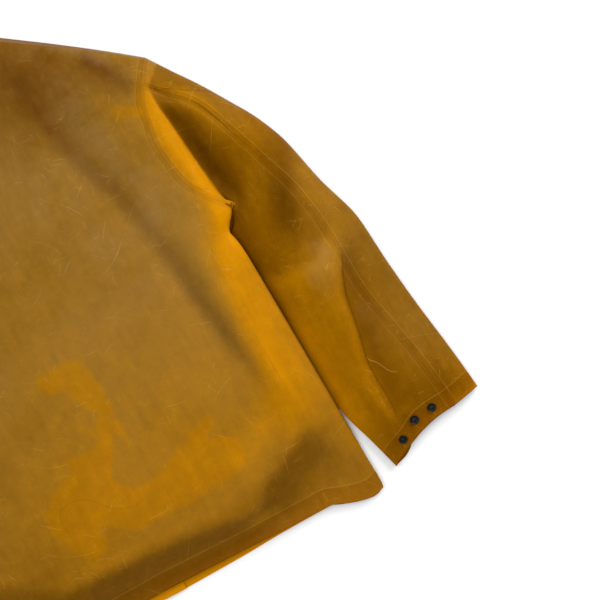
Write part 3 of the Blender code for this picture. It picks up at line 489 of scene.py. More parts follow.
# painted light and shade over the back, as shares of all tones
BACK_LIGHT_AND_SHADE = [
    Fold("shoulders", 0.060, 0.090, -0.27, (
        (-0.200, 0.690), (-0.060, 0.740), (0.070, 0.740), (0.170, 0.690), (0.250, 0.600),
    )),
    Fold("hem slope", 0.013, 0.075, -0.24, (
        (-0.306, 0.153), (-0.188, 0.114), (-0.150, 0.087), (-0.114, 0.061), (-0.083, 0.065), (-0.039, 0.061),
        (0.054, 0.055), (0.126, 0.045), (0.174, 0.045), (0.230, 0.035),
    )),
    Fold("lower back", 0.120, 0.070, 0.07, ((-0.250, 0.150), (-0.060, 0.170), (0.120, 0.160), (0.300, 0.140))),
    Fold("pull", 0.010, 0.016, -0.30, ((0.225, 0.700), (0.246, 0.656), (0.268, 0.620), (0.283, 0.600))),
    Fold("left hem", 0.040, 0.040, -0.10, ((-0.260, 0.185), (-0.200, 0.145), (-0.140, 0.120), (-0.080, 0.105))),
    Fold("hem wrinkle", 0.006, 0.006, 0.09, (
        (-0.060, 0.046), (-0.030, 0.043), (0.058, 0.034), (0.134, 0.033), (0.190, 0.042), (0.225, 0.041),
    )),
    Fold("pillow", 0.010, 0.014, 0.07, (
        (-0.110, 0.060), (-0.060, 0.085), (0.020, 0.080), (0.090, 0.075), (0.150, 0.085),
    )),
    Fold("left side", 0.080, 0.070, -0.11, (
        (-0.190, 0.100), (-0.170, 0.250), (-0.120, 0.420), (-0.040, 0.580), (0.040, 0.720),
    )),
]
LIGHT_SIDES = SIDE_LIGHT_AND_SHADE[:2]


def body_tone(x, y):
    """Painted light and shade: how light the body's cloth looks, from 0 in its deepest hollow to 1 where it
    glows.
    """
    strength = np.where(x < 0, LEFT_FOLDS, 1.0)
    sides = strength * rise(SIDE_LIGHT_AND_SHADE, np.abs(x), y)
    return BODY_TONE - UPPER_TONE * step((y - UPPER_START) / UPPER_LENGTH) + sides + rise(BACK_LIGHT_AND_SHADE, x, y)


def body_grey_sheen(x, y):
    """How much painted grey sheen the body's cloth has, from 0 to 1."""
    grey_sheen = HEM_SHEEN + (1 - HEM_SHEEN) * step((y - HEM_START) / HEM_LENGTH)
    return grey_sheen * (1 - LIGHT_SIDE_SHEEN_LOSS * step(rise(LIGHT_SIDES, np.abs(x), y) / LIGHT_FULL))


print("tone in the middle of the back:", body_tone(np.zeros(1), np.full(1, 0.4)).round(3))

# %% [markdown]
# ## The back
#
# The back is one piece of cloth between the side seams, cut out at the armholes and the neck. It could be cut
# from a plane with a boolean, which leaves ragged edges. Instead a grid is stretched between its four sides, as
# a net is in a frame, and its points are then lifted to the height of the laid form.

# %% Patches, painted sheen and the line on the back
PATCHES = [  # where the coat of the front sticks to the back and shows through it, as tapered strokes
    Stroke(-0.004, 0.326, 0.017, 0.026, 0.321, 0.021),
    Stroke(0.026, 0.321, 0.021, 0.036, 0.284, 0.021),
    Stroke(0.036, 0.284, 0.021, 0.049, 0.261, 0.010),
    Stroke(0.042, 0.259, 0.010, 0.022, 0.220, 0.013),
    Stroke(0.046, 0.238, 0.009, 0.059, 0.193, 0.001),
    Stroke(0.021, 0.236, 0.008, 0.001, 0.263, 0.002),
    Stroke(-0.003, 0.216, 0.010, -0.053, 0.229, 0.002),
    Stroke(0.022, 0.220, 0.014, -0.016, 0.187, 0.032),
    Stroke(-0.016, 0.187, 0.034, -0.056, 0.158, 0.038),
    Stroke(-0.056, 0.158, 0.034, -0.052, 0.118, 0.023),
    Stroke(-0.025, 0.168, 0.037, 0.019, 0.129, 0.027),
    Stroke(0.019, 0.129, 0.027, 0.086, 0.125, 0.023),
    Stroke(0.086, 0.125, 0.023, 0.149, 0.137, 0.030),
    Stroke(0.056, 0.141, 0.010, 0.123, 0.166, 0.014),
    Stroke(0.132, 0.169, 0.016, 0.155, 0.184, 0.009),
    Stroke(0.265, 0.582, 0.010, 0.239, 0.592, 0.012),
]
PALE_SHEENS = [  # where a painted pale sheen lies on the coat
    Fold("pull to the sleeve", 0.012, 0.018, 0.8, (
        (0.150, 0.735), (0.198, 0.717), (0.239, 0.698), (0.265, 0.657), (0.284, 0.612),
    )),
    Fold("beside the trough", 0.022, 0.026, 0.7, (
        (0.205, 0.700), (0.190, 0.640), (0.196, 0.580), (0.214, 0.520), (0.229, 0.460), (0.226, 0.380),
    )),
    Fold("middle back", 0.060, 0.080, 0.45, ((0.100, 0.640), (0.120, 0.520), (0.140, 0.400), (0.150, 0.300))),
]
HAIR = [  # a fine line that runs through the largest patch
    (0.0475, 0.1394), (0.0217, 0.1340), (0.0014, 0.1390), (-0.0141, 0.1530), (-0.0287, 0.1685),
    (-0.0512, 0.1766), (-0.0672, 0.1717), (-0.0735, 0.1598), (-0.0696, 0.1348),
]
HAIR_STRENGTH = 0.45  # the hair-like line on the back is this strong beside a crease


# %% Back
def back_plan():
    """Plan points of the back, stretched between the hem, the sides and the neck and shoulders."""
    _, seam_y = seam_rows()
    ring = armhole(1)[0][:, :2]
    arm = np.concatenate([ring[ARM_COLUMNS::-1], ring[-2 : -CAP_COLUMNS - 1 : -1]])
    right = np.concatenate([np.stack([side("seam_x", seam_y), seam_y], 1)[:-1], arm])
    up = ((right[:, 1] - right[0, 1]) / (right[-1, 1] - right[0, 1]))[:, None, None]
    neck_x = np.linspace(0, NECK_X, NECK_COLUMNS + 1)[:-1]
    top = np.concatenate([np.stack([neck_x, back_neck_y(neck_x)], 1), shoulder_seam(1)[:, :2]])
    across = (top[:, 0] / top[-1, 0])[None, :, None]
    bottom_x = across[0, :, 0] * right[0, 0]
    bottom = np.stack([bottom_x, hem("back_y", bottom_x)], 1)
    low_y = bottom[0, 1]
    centre = np.concatenate([np.zeros_like(up[:, 0]), low_y + (BACK_NECK_Y - low_y) * up[:, 0]], 1)
    sides = (1 - across) * centre[:, None] + across * right[:, None]
    ends = (1 - up) * bottom[None] + up * top[None]
    low = (1 - across) * bottom[0] + across * bottom[-1]
    high = (1 - across) * top[0] + across * top[-1]
    plan = sides + ends - (1 - up) * low - up * high
    return np.concatenate([plan[:, :0:-1] * (-1, 1), plan], axis=1)


def back_panel():
    """The back between the two side seams, from the hem to the neck and the shoulder seams."""
    plan = back_plan()
    x, y = plan[..., 0], plan[..., 1]
    middle = with_height(plan)
    draw_in(middle[:, 0], middle[:, 1])
    draw_in(middle[:, -1], middle[:, -2])
    draw_in(middle[-1], middle[-2])
    shape = plan.shape[:2]
    mirrored = middle.reshape(-1, 3).copy()
    mirrored[:, 0] = np.abs(mirrored[:, 0])
    arm_seam, side_seam = middle[SIDE_ROWS:, -1], middle[: SIDE_ROWS + 1, -1]
    shoulder = distance_to(mirrored, middle[-1, FLAT_COLUMNS + NECK_COLUMNS :])
    hair, hair_on = trace(x, y, HAIR)
    marks = {
        "tape": distance_to(mirrored, arm_seam).reshape(shape),
        "seam": np.minimum(distance_to(mirrored, side_seam), shoulder).reshape(shape),
        "hem": y - hem("back_y", x),
        "patch": patch_distance(PATCHES, x, y),
        # painted light and shade
        "tone": body_tone(x, y),
        # painted pale sheen
        "pale_sheen": rise(PALE_SHEENS, np.abs(x), y),
        "line": hair,
        "line_on": hair_on * HAIR_STRENGTH,
        # painted grey sheen
        "grey_sheen": body_grey_sheen(x, y),
    }
    wall("back", middle, back_normal(x, y), marks)


back_panel()

# %% [markdown]
# ## The fronts
#
# Each front lies flat on the table, rolls round the side up to the side seam, and passes over the shoulder. It
# is one grid, so the roll needs no joint: a quarter turn is put in between the columns on the table and those
# above. The left front laps over the right one at the centre.

# %% Edges of a front
LAP_GAP, LAP_START, LAP_RAMP = 0.0006, 0.004, 0.014  # the upper front's gap, and where and how it comes down
FLARE_START = 0.2  # from this share of its width outwards, a front follows the side's curve
EDGE_OUT, NECK_OUT = (0.3, 0.9, 0.2), (1.0, 1.0, 0.2)  # how the cloth faces on the shoulder's edge
FRONT_TONE, HEM_GLOW = 0.70, 0.60  # the hem of the fronts peeps out from under the back, with a painted glow
GLOW_START, GLOW_LENGTH = 0.01, 0.04


def lapped(x, lies_over):
    """Height of a front: the one that lies over the other rises at the centre."""
    return HALF + lies_over * (CLOTH + LAP_GAP) * (1 - step((np.abs(x) - OVERLAP - LAP_START) / LAP_RAMP))


def front_columns():
    """Plan x of a front's columns at the neck, from its edge past the centre."""
    return np.concatenate([[-OVERLAP], np.linspace(OVERLAP + LAP_STEP, NECK_X, NECK_COLUMNS)])


def neck_roll():
    """Points and normals over the shoulder at the neck, and the normal of the shoulder's edge there."""
    out = (1.0, 1.0, 0.0)
    points, normals = roll_points((NECK_X, FRONT_NECK_TOP), (NECK_X, NECK_Y), SHOULDER_EDGE, out)
    return points, normals, unit(np.array(NECK_OUT))


# %% Fronts
def front_panel(name, hand):
    """A front: flat on the floor, rolled round the side up to the side seam, and over the shoulder."""
    edge_y, seam_y = seam_rows()
    ring, ring_normal = armhole(hand)
    under = ARM_COLUMNS + UNDER_COLUMNS  # the ring's underarm point
    sole = under + ROLL_STEPS + 1  # its first point on the floor
    sole_end = sole + SOLE_COLUMNS
    seam_line = shoulder_seam(hand)
    neck_x = front_columns()
    top_x = np.concatenate([neck_x, np.linspace(NECK_X, ring[sole_end, 0], len(seam_line))[1:]])
    top_y = np.where(top_x < NECK_X + 1e-6, front_neck_y(top_x), shoulder_y(top_x) - SHOULDER_ROLL)
    top_y[0], top_y[-1] = FRONT_NECK_Y, ring[sole_end, 1]
    flat, neck = len(top_x) - 1, len(neck_x) - 1  # the last columns on the floor and in the neck
    first_over = SIDE_ROWS + SOLE_COLUMNS  # the last row on the floor
    rows, columns = first_over + ROLL_STEPS + 3, flat + ROLL_STEPS + STRIP_COLUMNS + 2
    middle, normal = np.zeros((rows, columns, 3)), np.tile(-UP, (rows, columns, 1))

    # on the floor
    floor_x = side("edge_x", edge_y) - side("roll", edge_y)
    floor_y = SIDES[0].y + (ring[sole, 1] - SIDES[0].y) * (edge_y - edge_y[0]) / (edge_y[-1] - edge_y[0])
    right = np.concatenate([np.stack([floor_x, floor_y], 1)[:-1], ring[sole : sole_end + 1, :2]])
    up = (right[:, 1] - right[0, 1]) / (right[-1, 1] - right[0, 1])
    across = (top_x - top_x[0]) / (top_x[-1] - top_x[0])
    for i, (right_x, right_y) in enumerate(right):
        x = top_x + (right_x - top_x[-1]) * step((across - FLARE_START) / (1 - FLARE_START))
        low = hem("front_y", x)
        y = low + (top_y - low) * up[i]
        y += (right_y - y[-1]) * step(across)
        middle[i, : flat + 1] = np.stack([x, y, lapped(x, hand < 0)], 1)

    # round the side and over to the side seam
    inward = np.linspace(0, 1, STRIP_COLUMNS + 1)[:, None] ** EDGE_CLOSENESS
    for i in range(SIDE_ROWS):
        edge = np.array([side("edge_x", edge_y[i]), edge_y[i]])
        seam = np.array([side("seam_x", seam_y[i]), seam_y[i]])
        strip = edge * (1 - inward) + seam * inward
        if i == 0:
            strip[:, 1] = hem("back_y", strip[:, 0])
        strip = with_height(strip, hand)
        middle[i, flat + 1 :] = np.concatenate([roll_points(middle[i, flat], edge, strip[0, 2])[0], strip])
    middle[SIDE_ROWS, flat + 1 :] = ring[sole - 1 : ARM_COLUMNS - 1 : -1]
    turned = -grid_normals(middle[: SIDE_ROWS + 1, flat - 1 :])
    normal[: SIDE_ROWS + 1, flat + 1 :] = turned[:, 2:]
    normal[SIDE_ROWS, flat + 1 :] = ring_normal[sole - 1 : ARM_COLUMNS - 1 : -1]
    normal[:SIDE_ROWS, -1] = back_normal(middle[:SIDE_ROWS, -1, 0], middle[:SIDE_ROWS, -1, 1], hand)

    # over the shoulder
    for j, seam in enumerate(seam_line, neck):
        edge = np.array([seam[0], shoulder_y(seam[0]), SHOULDER_EDGE])
        points, normals = roll_points(middle[first_over, j], edge, SHOULDER_EDGE, (0, 1, 0))
        edge_normal = unit(np.array(EDGE_OUT))
        if j == neck:
            points, normals, edge_normal = neck_roll()
        if j == flat:
            last = -CAP_COLUMNS - 1
            points, normals = ring[sole_end + 1 : last], ring_normal[sole_end + 1 : last]
            edge, edge_normal = ring[last], ring_normal[last]
        middle[first_over + 1 :, j] = np.array([*points, edge, seam])
        normal[first_over + 1 :, j] = np.array([*normals, edge_normal, back_normal(seam[0], seam[1], hand)])

    used = np.zeros((rows, columns), bool)
    used[:SIDE_ROWS] = True
    used[SIDE_ROWS:first_over, :flat] = True
    used[first_over:, neck:flat] = True
    draw_in(middle[:SIDE_ROWS, -1], middle[:SIDE_ROWS, -2])
    draw_in(middle[SIDE_ROWS, flat + 1 :], middle[SIDE_ROWS - 1, flat + 1 :])
    draw_in(middle[SIDE_ROWS:, flat], middle[SIDE_ROWS:, flat - 1])
    draw_in(middle[-1, neck : flat + 1], middle[-2, neck : flat + 1])
    points = middle.reshape(-1, 3)
    x, y = middle[..., 0], middle[..., 1]
    on_floor = (np.arange(columns) <= flat) & (np.arange(rows) <= first_over)[:, None]
    # a painted glow where the fronts' hem peeps out
    front_tone = FRONT_TONE + HEM_GLOW * (1 - step((y - GLOW_START) / GLOW_LENGTH))
    marks = {
        "tape": distance_to(points, middle[SIDE_ROWS, flat:]).reshape(rows, columns),
        "seam": distance_to(points, middle[: SIDE_ROWS + 1, -1]).reshape(rows, columns),
        "hem": np.where(on_floor, FAR, y - hem("back_y", x)),
        "patch": FAR,
        "tone": np.where(on_floor, front_tone, body_tone(x * hand, y)),
        # painted grey sheen
        "grey_sheen": np.where(on_floor, 0.0, body_grey_sheen(x * hand, y)),
    }
    wall(name, middle, -normal, marks, hand, used)


front_panel("front_right", 1)
front_panel("front_left", -1)

# %% [markdown]
# ## The collar
#
# Nothing of the collar shows in the photograph, so it is a plain stand collar, pressed flat: its front half
# lies on the table and is split at the centre, and its back half lies above it. Two rings of points, one at the
# neck seam and one at the free edge, hold its whole shape.

# %% The collar's sizes, and one ring of it
COLLAR_ROWS = 14
COLLAR_X, COLLAR_TOP_Y = 0.079, 0.853
COLLAR_FRONT_Y, COLLAR_BACK_Y = 0.777, 0.842
COLLAR_EDGE, COLLAR_EDGE_Z = (0.086, 0.860), 0.007
COLLAR_SEAM, COLLAR_BACK_Z = (0.079, 0.862), 0.012
COLLAR_SPLIT = 0.002
COLLAR_SWELL = 0.003  # the collar's back stands this much higher in its middle
COLLAR_BAND = 0.018  # what the collar's edge band is narrower by than a hem
# the collar's tone, and its share of painted grey sheen
COLLAR_TONE, COLLAR_SHEEN = 0.5, 0.8
SEAM = 0.0004  # space between two pieces at a seam


def collar_ring(width, front_low, front_top, edge, edge_z, seam, seam_z, back_low, lap):
    """Points round one edge of the collar's half, from the centre front to the centre back."""
    x = np.array([COLLAR_SPLIT, *front_columns()[1:]]) * width / NECK_X
    y = front_neck_y(x, width, front_low, front_top)
    front = np.stack([x, y, lapped(x, lap)], 1)
    roll = roll_points(front[-1], edge, edge_z)[0]
    back_x = np.linspace(width, 0, NECK_COLUMNS + 1)[1:]
    back_y = seam[1] - (seam[1] - back_low) * rounded(width - back_x, width)
    back = np.stack([back_x, back_y, seam_z + COLLAR_SWELL * (1 - back_x / width)], 1)
    return np.concatenate([front, roll, [[*edge, edge_z]], [[*seam, seam_z]], back])


# %% Collar
def collar_half(hand):
    """Points of one half of the collar, and its normals along the neck seam."""
    seam = shoulder_seam(hand)[0]
    neck_edge = (NECK_X, NECK_Y)
    low = collar_ring(
        NECK_X, FRONT_NECK_Y, FRONT_NECK_TOP, neck_edge, SHOULDER_EDGE, seam[:2], seam[2], BACK_NECK_Y, hand < 0
    )
    first = len(front_columns())
    roll_end = first + ROLL_STEPS
    low[first:roll_end], roll_normals, edge_normal = neck_roll()
    low[-NECK_COLUMNS:, 2] = back_height(low[-NECK_COLUMNS:, 0] * hand, low[-NECK_COLUMNS:, 1])
    tail = low[roll_end + 1 :]
    low_normal = np.tile(-UP, (len(low), 1))
    low_normal[first:roll_end] = roll_normals
    low_normal[roll_end] = edge_normal
    low_normal[roll_end + 1 :] = back_normal(tail[:, 0], tail[:, 1], hand)
    shift = np.tile([0.0, SEAM, 0.0], (len(low), 1))
    shift[first - 1 : roll_end + 2] = (-SEAM, SEAM, 0.0)
    high = collar_ring(
        COLLAR_X, COLLAR_FRONT_Y, COLLAR_TOP_Y, COLLAR_EDGE, COLLAR_EDGE_Z, COLLAR_SEAM, COLLAR_BACK_Z,
        COLLAR_BACK_Y, hand < 0,
    )
    share = np.linspace(0, 1, COLLAR_ROWS + 1)[:, None, None]
    return (low + shift) * (1 - share) + high * share, low_normal


def collar():
    """A stand collar, flattened: its front half on the floor, its back half above, split at the front."""
    (right, right_normal), (left, left_normal) = collar_half(1), collar_half(-1)
    middle = np.concatenate([right, left[:, -2::-1] * (-1, 1, 1)], axis=1)
    normal = -grid_normals(middle)
    normal[0] = np.concatenate([right_normal, left_normal[-2::-1] * (-1, 1, 1)])
    points = middle.reshape(-1, 3)
    shape = middle.shape[:2]
    marks = {
        "tape": distance_to(points, middle[0]).reshape(shape),
        "seam": FAR,
        "hem": distance_to(points, middle[-1]).reshape(shape) + COLLAR_BAND,
        "patch": FAR,
        "tone": COLLAR_TONE,
        # painted grey sheen
        "grey_sheen": COLLAR_SHEEN,
    }
    wall("collar", middle, -normal, marks)


collar()

# %% [markdown]
# ## The sleeves
#
# A sleeve is a tube of two pieces. It folds over under the arm, lies against the body's side, and is pressed
# nearly flat. A bent cylinder would need its folds pushed in by hand. Here a table measures sections from the
# armhole to the cuff, and rows of points pass through them. The rows nearest the armhole turn down over the
# fold, and a few hundred rounds of averaging spread its lower end.

# %% Tables of the sleeve
SLEEVE_RINGS = 96
FOLD_ROWS = 22
TURN_COLUMN = ARM_COLUMNS + UNDER_COLUMNS - 1
SPREADS = 400
Station = namedtuple("Station", "outer_x outer_y seam_x seam_y inner_y tuck reach_x reach_y bow puff")
STATIONS = [  # sections from armhole to cuff: outermost line, seam, innermost line, and the curve between
    Station(0.3250, 0.6150, 0.2960, 0.5985, 0.3890, -0.0025, 0.055, 0.012, 0.030, 0.024),
    Station(0.3471, 0.5850, 0.3150, 0.5820, 0.3760, -0.0035, 0.050, 0.030, 0.034, 0.024),
    Station(0.3691, 0.5514, 0.3358, 0.5570, 0.3580, -0.0035, 0.045, 0.050, 0.034, 0.024),
    Station(0.3966, 0.5066, 0.3570, 0.5050, 0.3300, -0.0030, 0.045, 0.060, 0.030, 0.023),
    Station(0.4135, 0.4674, 0.3740, 0.4600, 0.3000, -0.0030, 0.045, 0.060, 0.025, 0.022),
    Station(0.4309, 0.3977, 0.3960, 0.3950, 0.2650, -0.0030, 0.045, 0.050, 0.018, 0.022),
    Station(0.4524, 0.3274, 0.4065, 0.3290, 0.2250, -0.0030, 0.045, 0.040, 0.010, 0.021),
    Station(0.4585, 0.2622, 0.4105, 0.2515, 0.1850, -0.0030, 0.040, 0.030, 0.005, 0.020),
    Station(0.4664, 0.1976, 0.4230, 0.1850, 0.1450, -0.0015, 0.040, 0.020, 0.000, 0.018),
    Station(0.4767, 0.1318, 0.4355, 0.1260, 0.1030, 0.0040, 0.040, 0.010, 0.000, 0.017),
    Station(0.4830, 0.0880, 0.4420, 0.0830, 0.0560, 0.0175, 0.038, 0.014, -0.003, 0.015),
    Station(0.4868, 0.0570, 0.4463, 0.0490, 0.0132, 0.0280, 0.030, 0.020, -0.009, 0.013),
]
Turn = namedtuple("Turn", "x y z")
UNDERARM_TURN = [  # the sleeve's edge from the seam over the fold's lower end and in under the body's side
    Turn(0.3105, 0.4262, 0.0290),
    Turn(0.3142, 0.4240, 0.0240),
    Turn(0.3155, 0.4195, 0.0190),
    Turn(0.3140, 0.4130, 0.0150),
    Turn(0.3110, 0.4060, 0.0120),
    Turn(0.3065, 0.3995, 0.0100),
]
FOLD_DOWN = 0.25  # the fold's edge lies this share of the way down from the armhole to the first section
FOLD_OUT, FOLD_OVER = 0.001, 0.002  # how far the cloth passes that edge on its way down, and at its foot
FOLD_FOOT, FOLD_FOOT_HEIGHT = 0.35, 0.12  # the foot's shares of the way out, and of the height
FOLD_GROWS = 0.375  # the fold has its full depth from this share of the columns
FOLD_EDGE, FOLD_BLUR = 0.37, 0.18  # where, from the armhole to the first section, the sleeve's own tone sets in
SLEEVE_EDGE = 0.006  # height of the sleeve's outer line
EDGE_SETTLES = 0.3  # from the armhole's height it comes down to that over this share of the length
OUTER_RAMP, INNER_RAMP = 0.050, 0.045
UNDER_CLOSENESS = 1.1  # above 1, the columns lie closer together against the body's side
INNER_ROLL, OUTER_ROLL = 0.006, 1.2  # the floor part ends inside by metres, and by shares of the edge's height

# %% Folds of the sleeve, and the curve of its cuff
SLEEVE_FOLDS = [
    Fold("ridge at the seam", 0.030, 0.034, 0.013, (
        (0.290, 0.604), (0.345, 0.535), (0.388, 0.430), (0.404, 0.320),
    )),
    Fold("underarm hollow", 0.016, 0.020, -0.012, (
        (0.303, 0.575), (0.316, 0.510), (0.322, 0.455), (0.318, 0.400),
    )),
    Fold("elbow valley", 0.020, 0.024, -0.009, (
        (0.388, 0.480), (0.380, 0.425), (0.360, 0.384), (0.352, 0.330),
    )),
    Fold("forearm bulge", 0.014, 0.046, 0.012, (
        (0.399, 0.335), (0.3965, 0.306), (0.3855, 0.280), (0.375, 0.245), (0.370, 0.211), (0.365, 0.187),
        (0.361, 0.164), (0.359, 0.137), (0.360, 0.108), (0.357, 0.010),
    )),
    Fold("forearm crease", 0.026, 0.007, -0.007, (
        (0.419, 0.325), (0.4145, 0.298), (0.4015, 0.272), (0.3905, 0.241), (0.3855, 0.208), (0.3815, 0.185),
        (0.376, 0.160), (0.3745, 0.136), (0.376, 0.108), (0.377, 0.060),
    )),
]
Rise = namedtuple("Rise", "share height")
CUFF_RISES = [  # how far the cuff's lower edge curves up, from its inner to its outer corner
    Rise(0.00, 0.0000),
    Rise(0.08, 0.0000),
    Rise(0.16, 0.0035),
    Rise(0.27, 0.0130),
    Rise(0.39, 0.0170),
    Rise(0.50, 0.0155),
    Rise(0.72, 0.0076),
    Rise(0.87, 0.0010),
    Rise(1.00, 0.0000),
]
CUFF_START = 0.80  # the share of the sleeve's length from which that curve sets in


# %% One section of a sleeve
def sleeve_height(plan, puff, hand):
    """Height of the sleeve's upper side before it rounds down to its edges."""
    strength = LEFT_FOLDS if hand < 0 else 1.0
    return puff + strength * rise(SLEEVE_FOLDS, plan[:, 0], plan[:, 1])


def sleeve_section(share, hand):
    """Points round the sleeve at a share of its length: inwards on top, outwards on the floor, then on top."""
    seam_line = np.stack([column(STATIONS, "seam_x"), column(STATIONS, "seam_y")], 1)
    travelled = np.concatenate([[0], np.cumsum(np.linalg.norm(np.diff(seam_line, axis=0), axis=1))])
    at = {f: float(smooth(share * travelled[-1], travelled, column(STATIONS, f))) for f in Station._fields}
    outer, seam = (np.array([at[k + "_x"], at[k + "_y"]]) for k in ("outer", "seam"))
    inner = np.array([float(side("edge_x", at["inner_y"])) + at["tuck"], at["inner_y"]])
    outer_z = SLEEVE_EDGE + (SHOULDER_EDGE - SLEEVE_EDGE) * float(step(1 - share / EDGE_SETTLES))

    # a cubic curve from the seam in to the body's side, and a line from the outer edge to the seam
    b = 1 - (1 - np.linspace(0, 1, ARM_COLUMNS + UNDER_COLUMNS + 1)[:, None]) ** UNDER_CLOSENESS
    turn = unit(np.array([seam[1] - inner[1], inner[0] - seam[0]]))
    leave = seam + (inner - seam) / 3 + turn * at["bow"] * 4 / 3
    arrive = inner + (at["reach_x"], at["reach_y"])
    under = seam * (1 - b) ** 3 + leave * 3 * b * (1 - b) ** 2 + arrive * 3 * b * b * (1 - b) + inner * b**3
    a = np.linspace(0, 1, CAP_COLUMNS + 1)[:, None] ** EDGE_CLOSENESS
    cap = outer * (1 - a) + seam * a
    heights = []
    for plan in (under, cap):
        to_outer, to_inner = (np.linalg.norm(plan - point, axis=1) for point in (outer, inner))
        edge = outer_z + (SLEEVE_EDGE - outer_z) * to_outer / (to_outer + to_inner)
        swell = np.sin(math.pi / 2 * np.minimum(to_inner / INNER_RAMP, 1))
        round_down = rounded(to_outer, OUTER_RAMP) * swell
        heights.append(edge + (sleeve_height(plan, at["puff"], hand) - edge) * round_down)

    # the part on the floor, and the rolls at both its ends
    chord = unit(outer - inner)
    ends = inner + chord * INNER_ROLL, outer - chord * (outer_z - HALF) * OUTER_ROLL
    floor = np.linspace(*ends, SOLE_COLUMNS + 1)
    across = np.linspace(0, 1, SOLE_COLUMNS + 1)
    curve = smooth(across, column(CUFF_RISES, "share"), column(CUFF_RISES, "height"))
    floor[:, 1] += curve * float(step((share - CUFF_START) / (1 - CUFF_START)))
    low = roll_points(floor[0], inner, SLEEVE_EDGE)[0]
    high = roll_points(floor[-1], outer, outer_z)[0]
    flat = np.column_stack([floor, np.full(len(floor), HALF)])
    upper, cap = np.column_stack([under, heights[0]]), np.column_stack([cap, heights[1]])
    return np.concatenate([upper, low[::-1], flat, high, cap])


# %% The fold under the arm
def underarm_fold(start, first, hand):
    """Rows between the armhole and the sleeve's first section, turned down along the fold at the underarm."""
    share = np.arange(1, FOLD_ROWS + 1) / (FOLD_ROWS + 1)
    rows = np.array([start, *[start + (first - start) * t for t in share], first])
    inside = slice(1, -1)
    for j in range(1, ARM_COLUMNS):
        target = first[j]
        y = start[j, 1] + (target[1] - start[j, 1]) * FOLD_DOWN
        edge = np.array([side("edge_x", y), y])
        edge_z = float(back_height(edge[0] * hand, y))
        crest = (start[j, :2] + edge) / 2
        foot = edge + (target[:2] - edge) * FOLD_FOOT + (FOLD_OVER, 0)
        turned = np.array([
            start[j],
            (*crest, float(back_height(crest[0] * hand, crest[1]))),
            (*edge, edge_z),
            (edge[0] + FOLD_OUT, y - FOLD_OUT, (edge_z + target[2]) / 2),
            (*foot, target[2] + (edge_z - target[2]) * FOLD_FOOT_HEIGHT),
            target,
        ])
        path = np.concatenate([[0], np.cumsum(np.linalg.norm(np.diff(turned, axis=0), axis=1))])
        at = share * path[-1]
        profile = np.stack([smooth(at, path, turned[:, k]) for k in range(3)], 1)
        weight = float(step(j / ARM_COLUMNS / FOLD_GROWS))
        rows[inside, j] += (profile - rows[inside, j]) * weight
    turn = np.array([start[TURN_COLUMN], *UNDERARM_TURN, first[TURN_COLUMN]])
    at = share * (len(turn) - 1)
    rows[inside, TURN_COLUMN] = np.stack([smooth(at, np.arange(len(turn)), turn[:, k]) for k in range(3)], 1)
    for j in range(ARM_COLUMNS, TURN_COLUMN):
        t = (j - ARM_COLUMNS + 1) / (TURN_COLUMN - ARM_COLUMNS + 1)
        rows[inside, j] = rows[inside, ARM_COLUMNS - 1] * (1 - t) + rows[inside, TURN_COLUMN] * t
    for _ in range(SPREADS):
        for j in range(ARM_COLUMNS, TURN_COLUMN):
            rows[inside, j] = (rows[:-2, j] + rows[2:, j] + rows[inside, j - 1] + rows[inside, j + 1]) / 4
    rows[inside, TURN_COLUMN + 1] = rows[inside, TURN_COLUMN] * 2 - rows[inside, TURN_COLUMN - 1]
    return rows[inside]


# %% Painted light, shade and sheen, patches and creases of the sleeves
SLEEVE_TONE = 0.52
CUFF_PATCH, CUFF_PATCH_TURN = (0.392, 0.075), math.radians(-20)
CUFF_PATCH_SIZE = (0.013, 0.007)  # half its length and half its width
SLEEVE_PATCHES = [
    Stroke(0.305, 0.598, 0.009, 0.324, 0.583, 0.011),
    Stroke(0.324, 0.583, 0.011, 0.345, 0.548, 0.010),
]
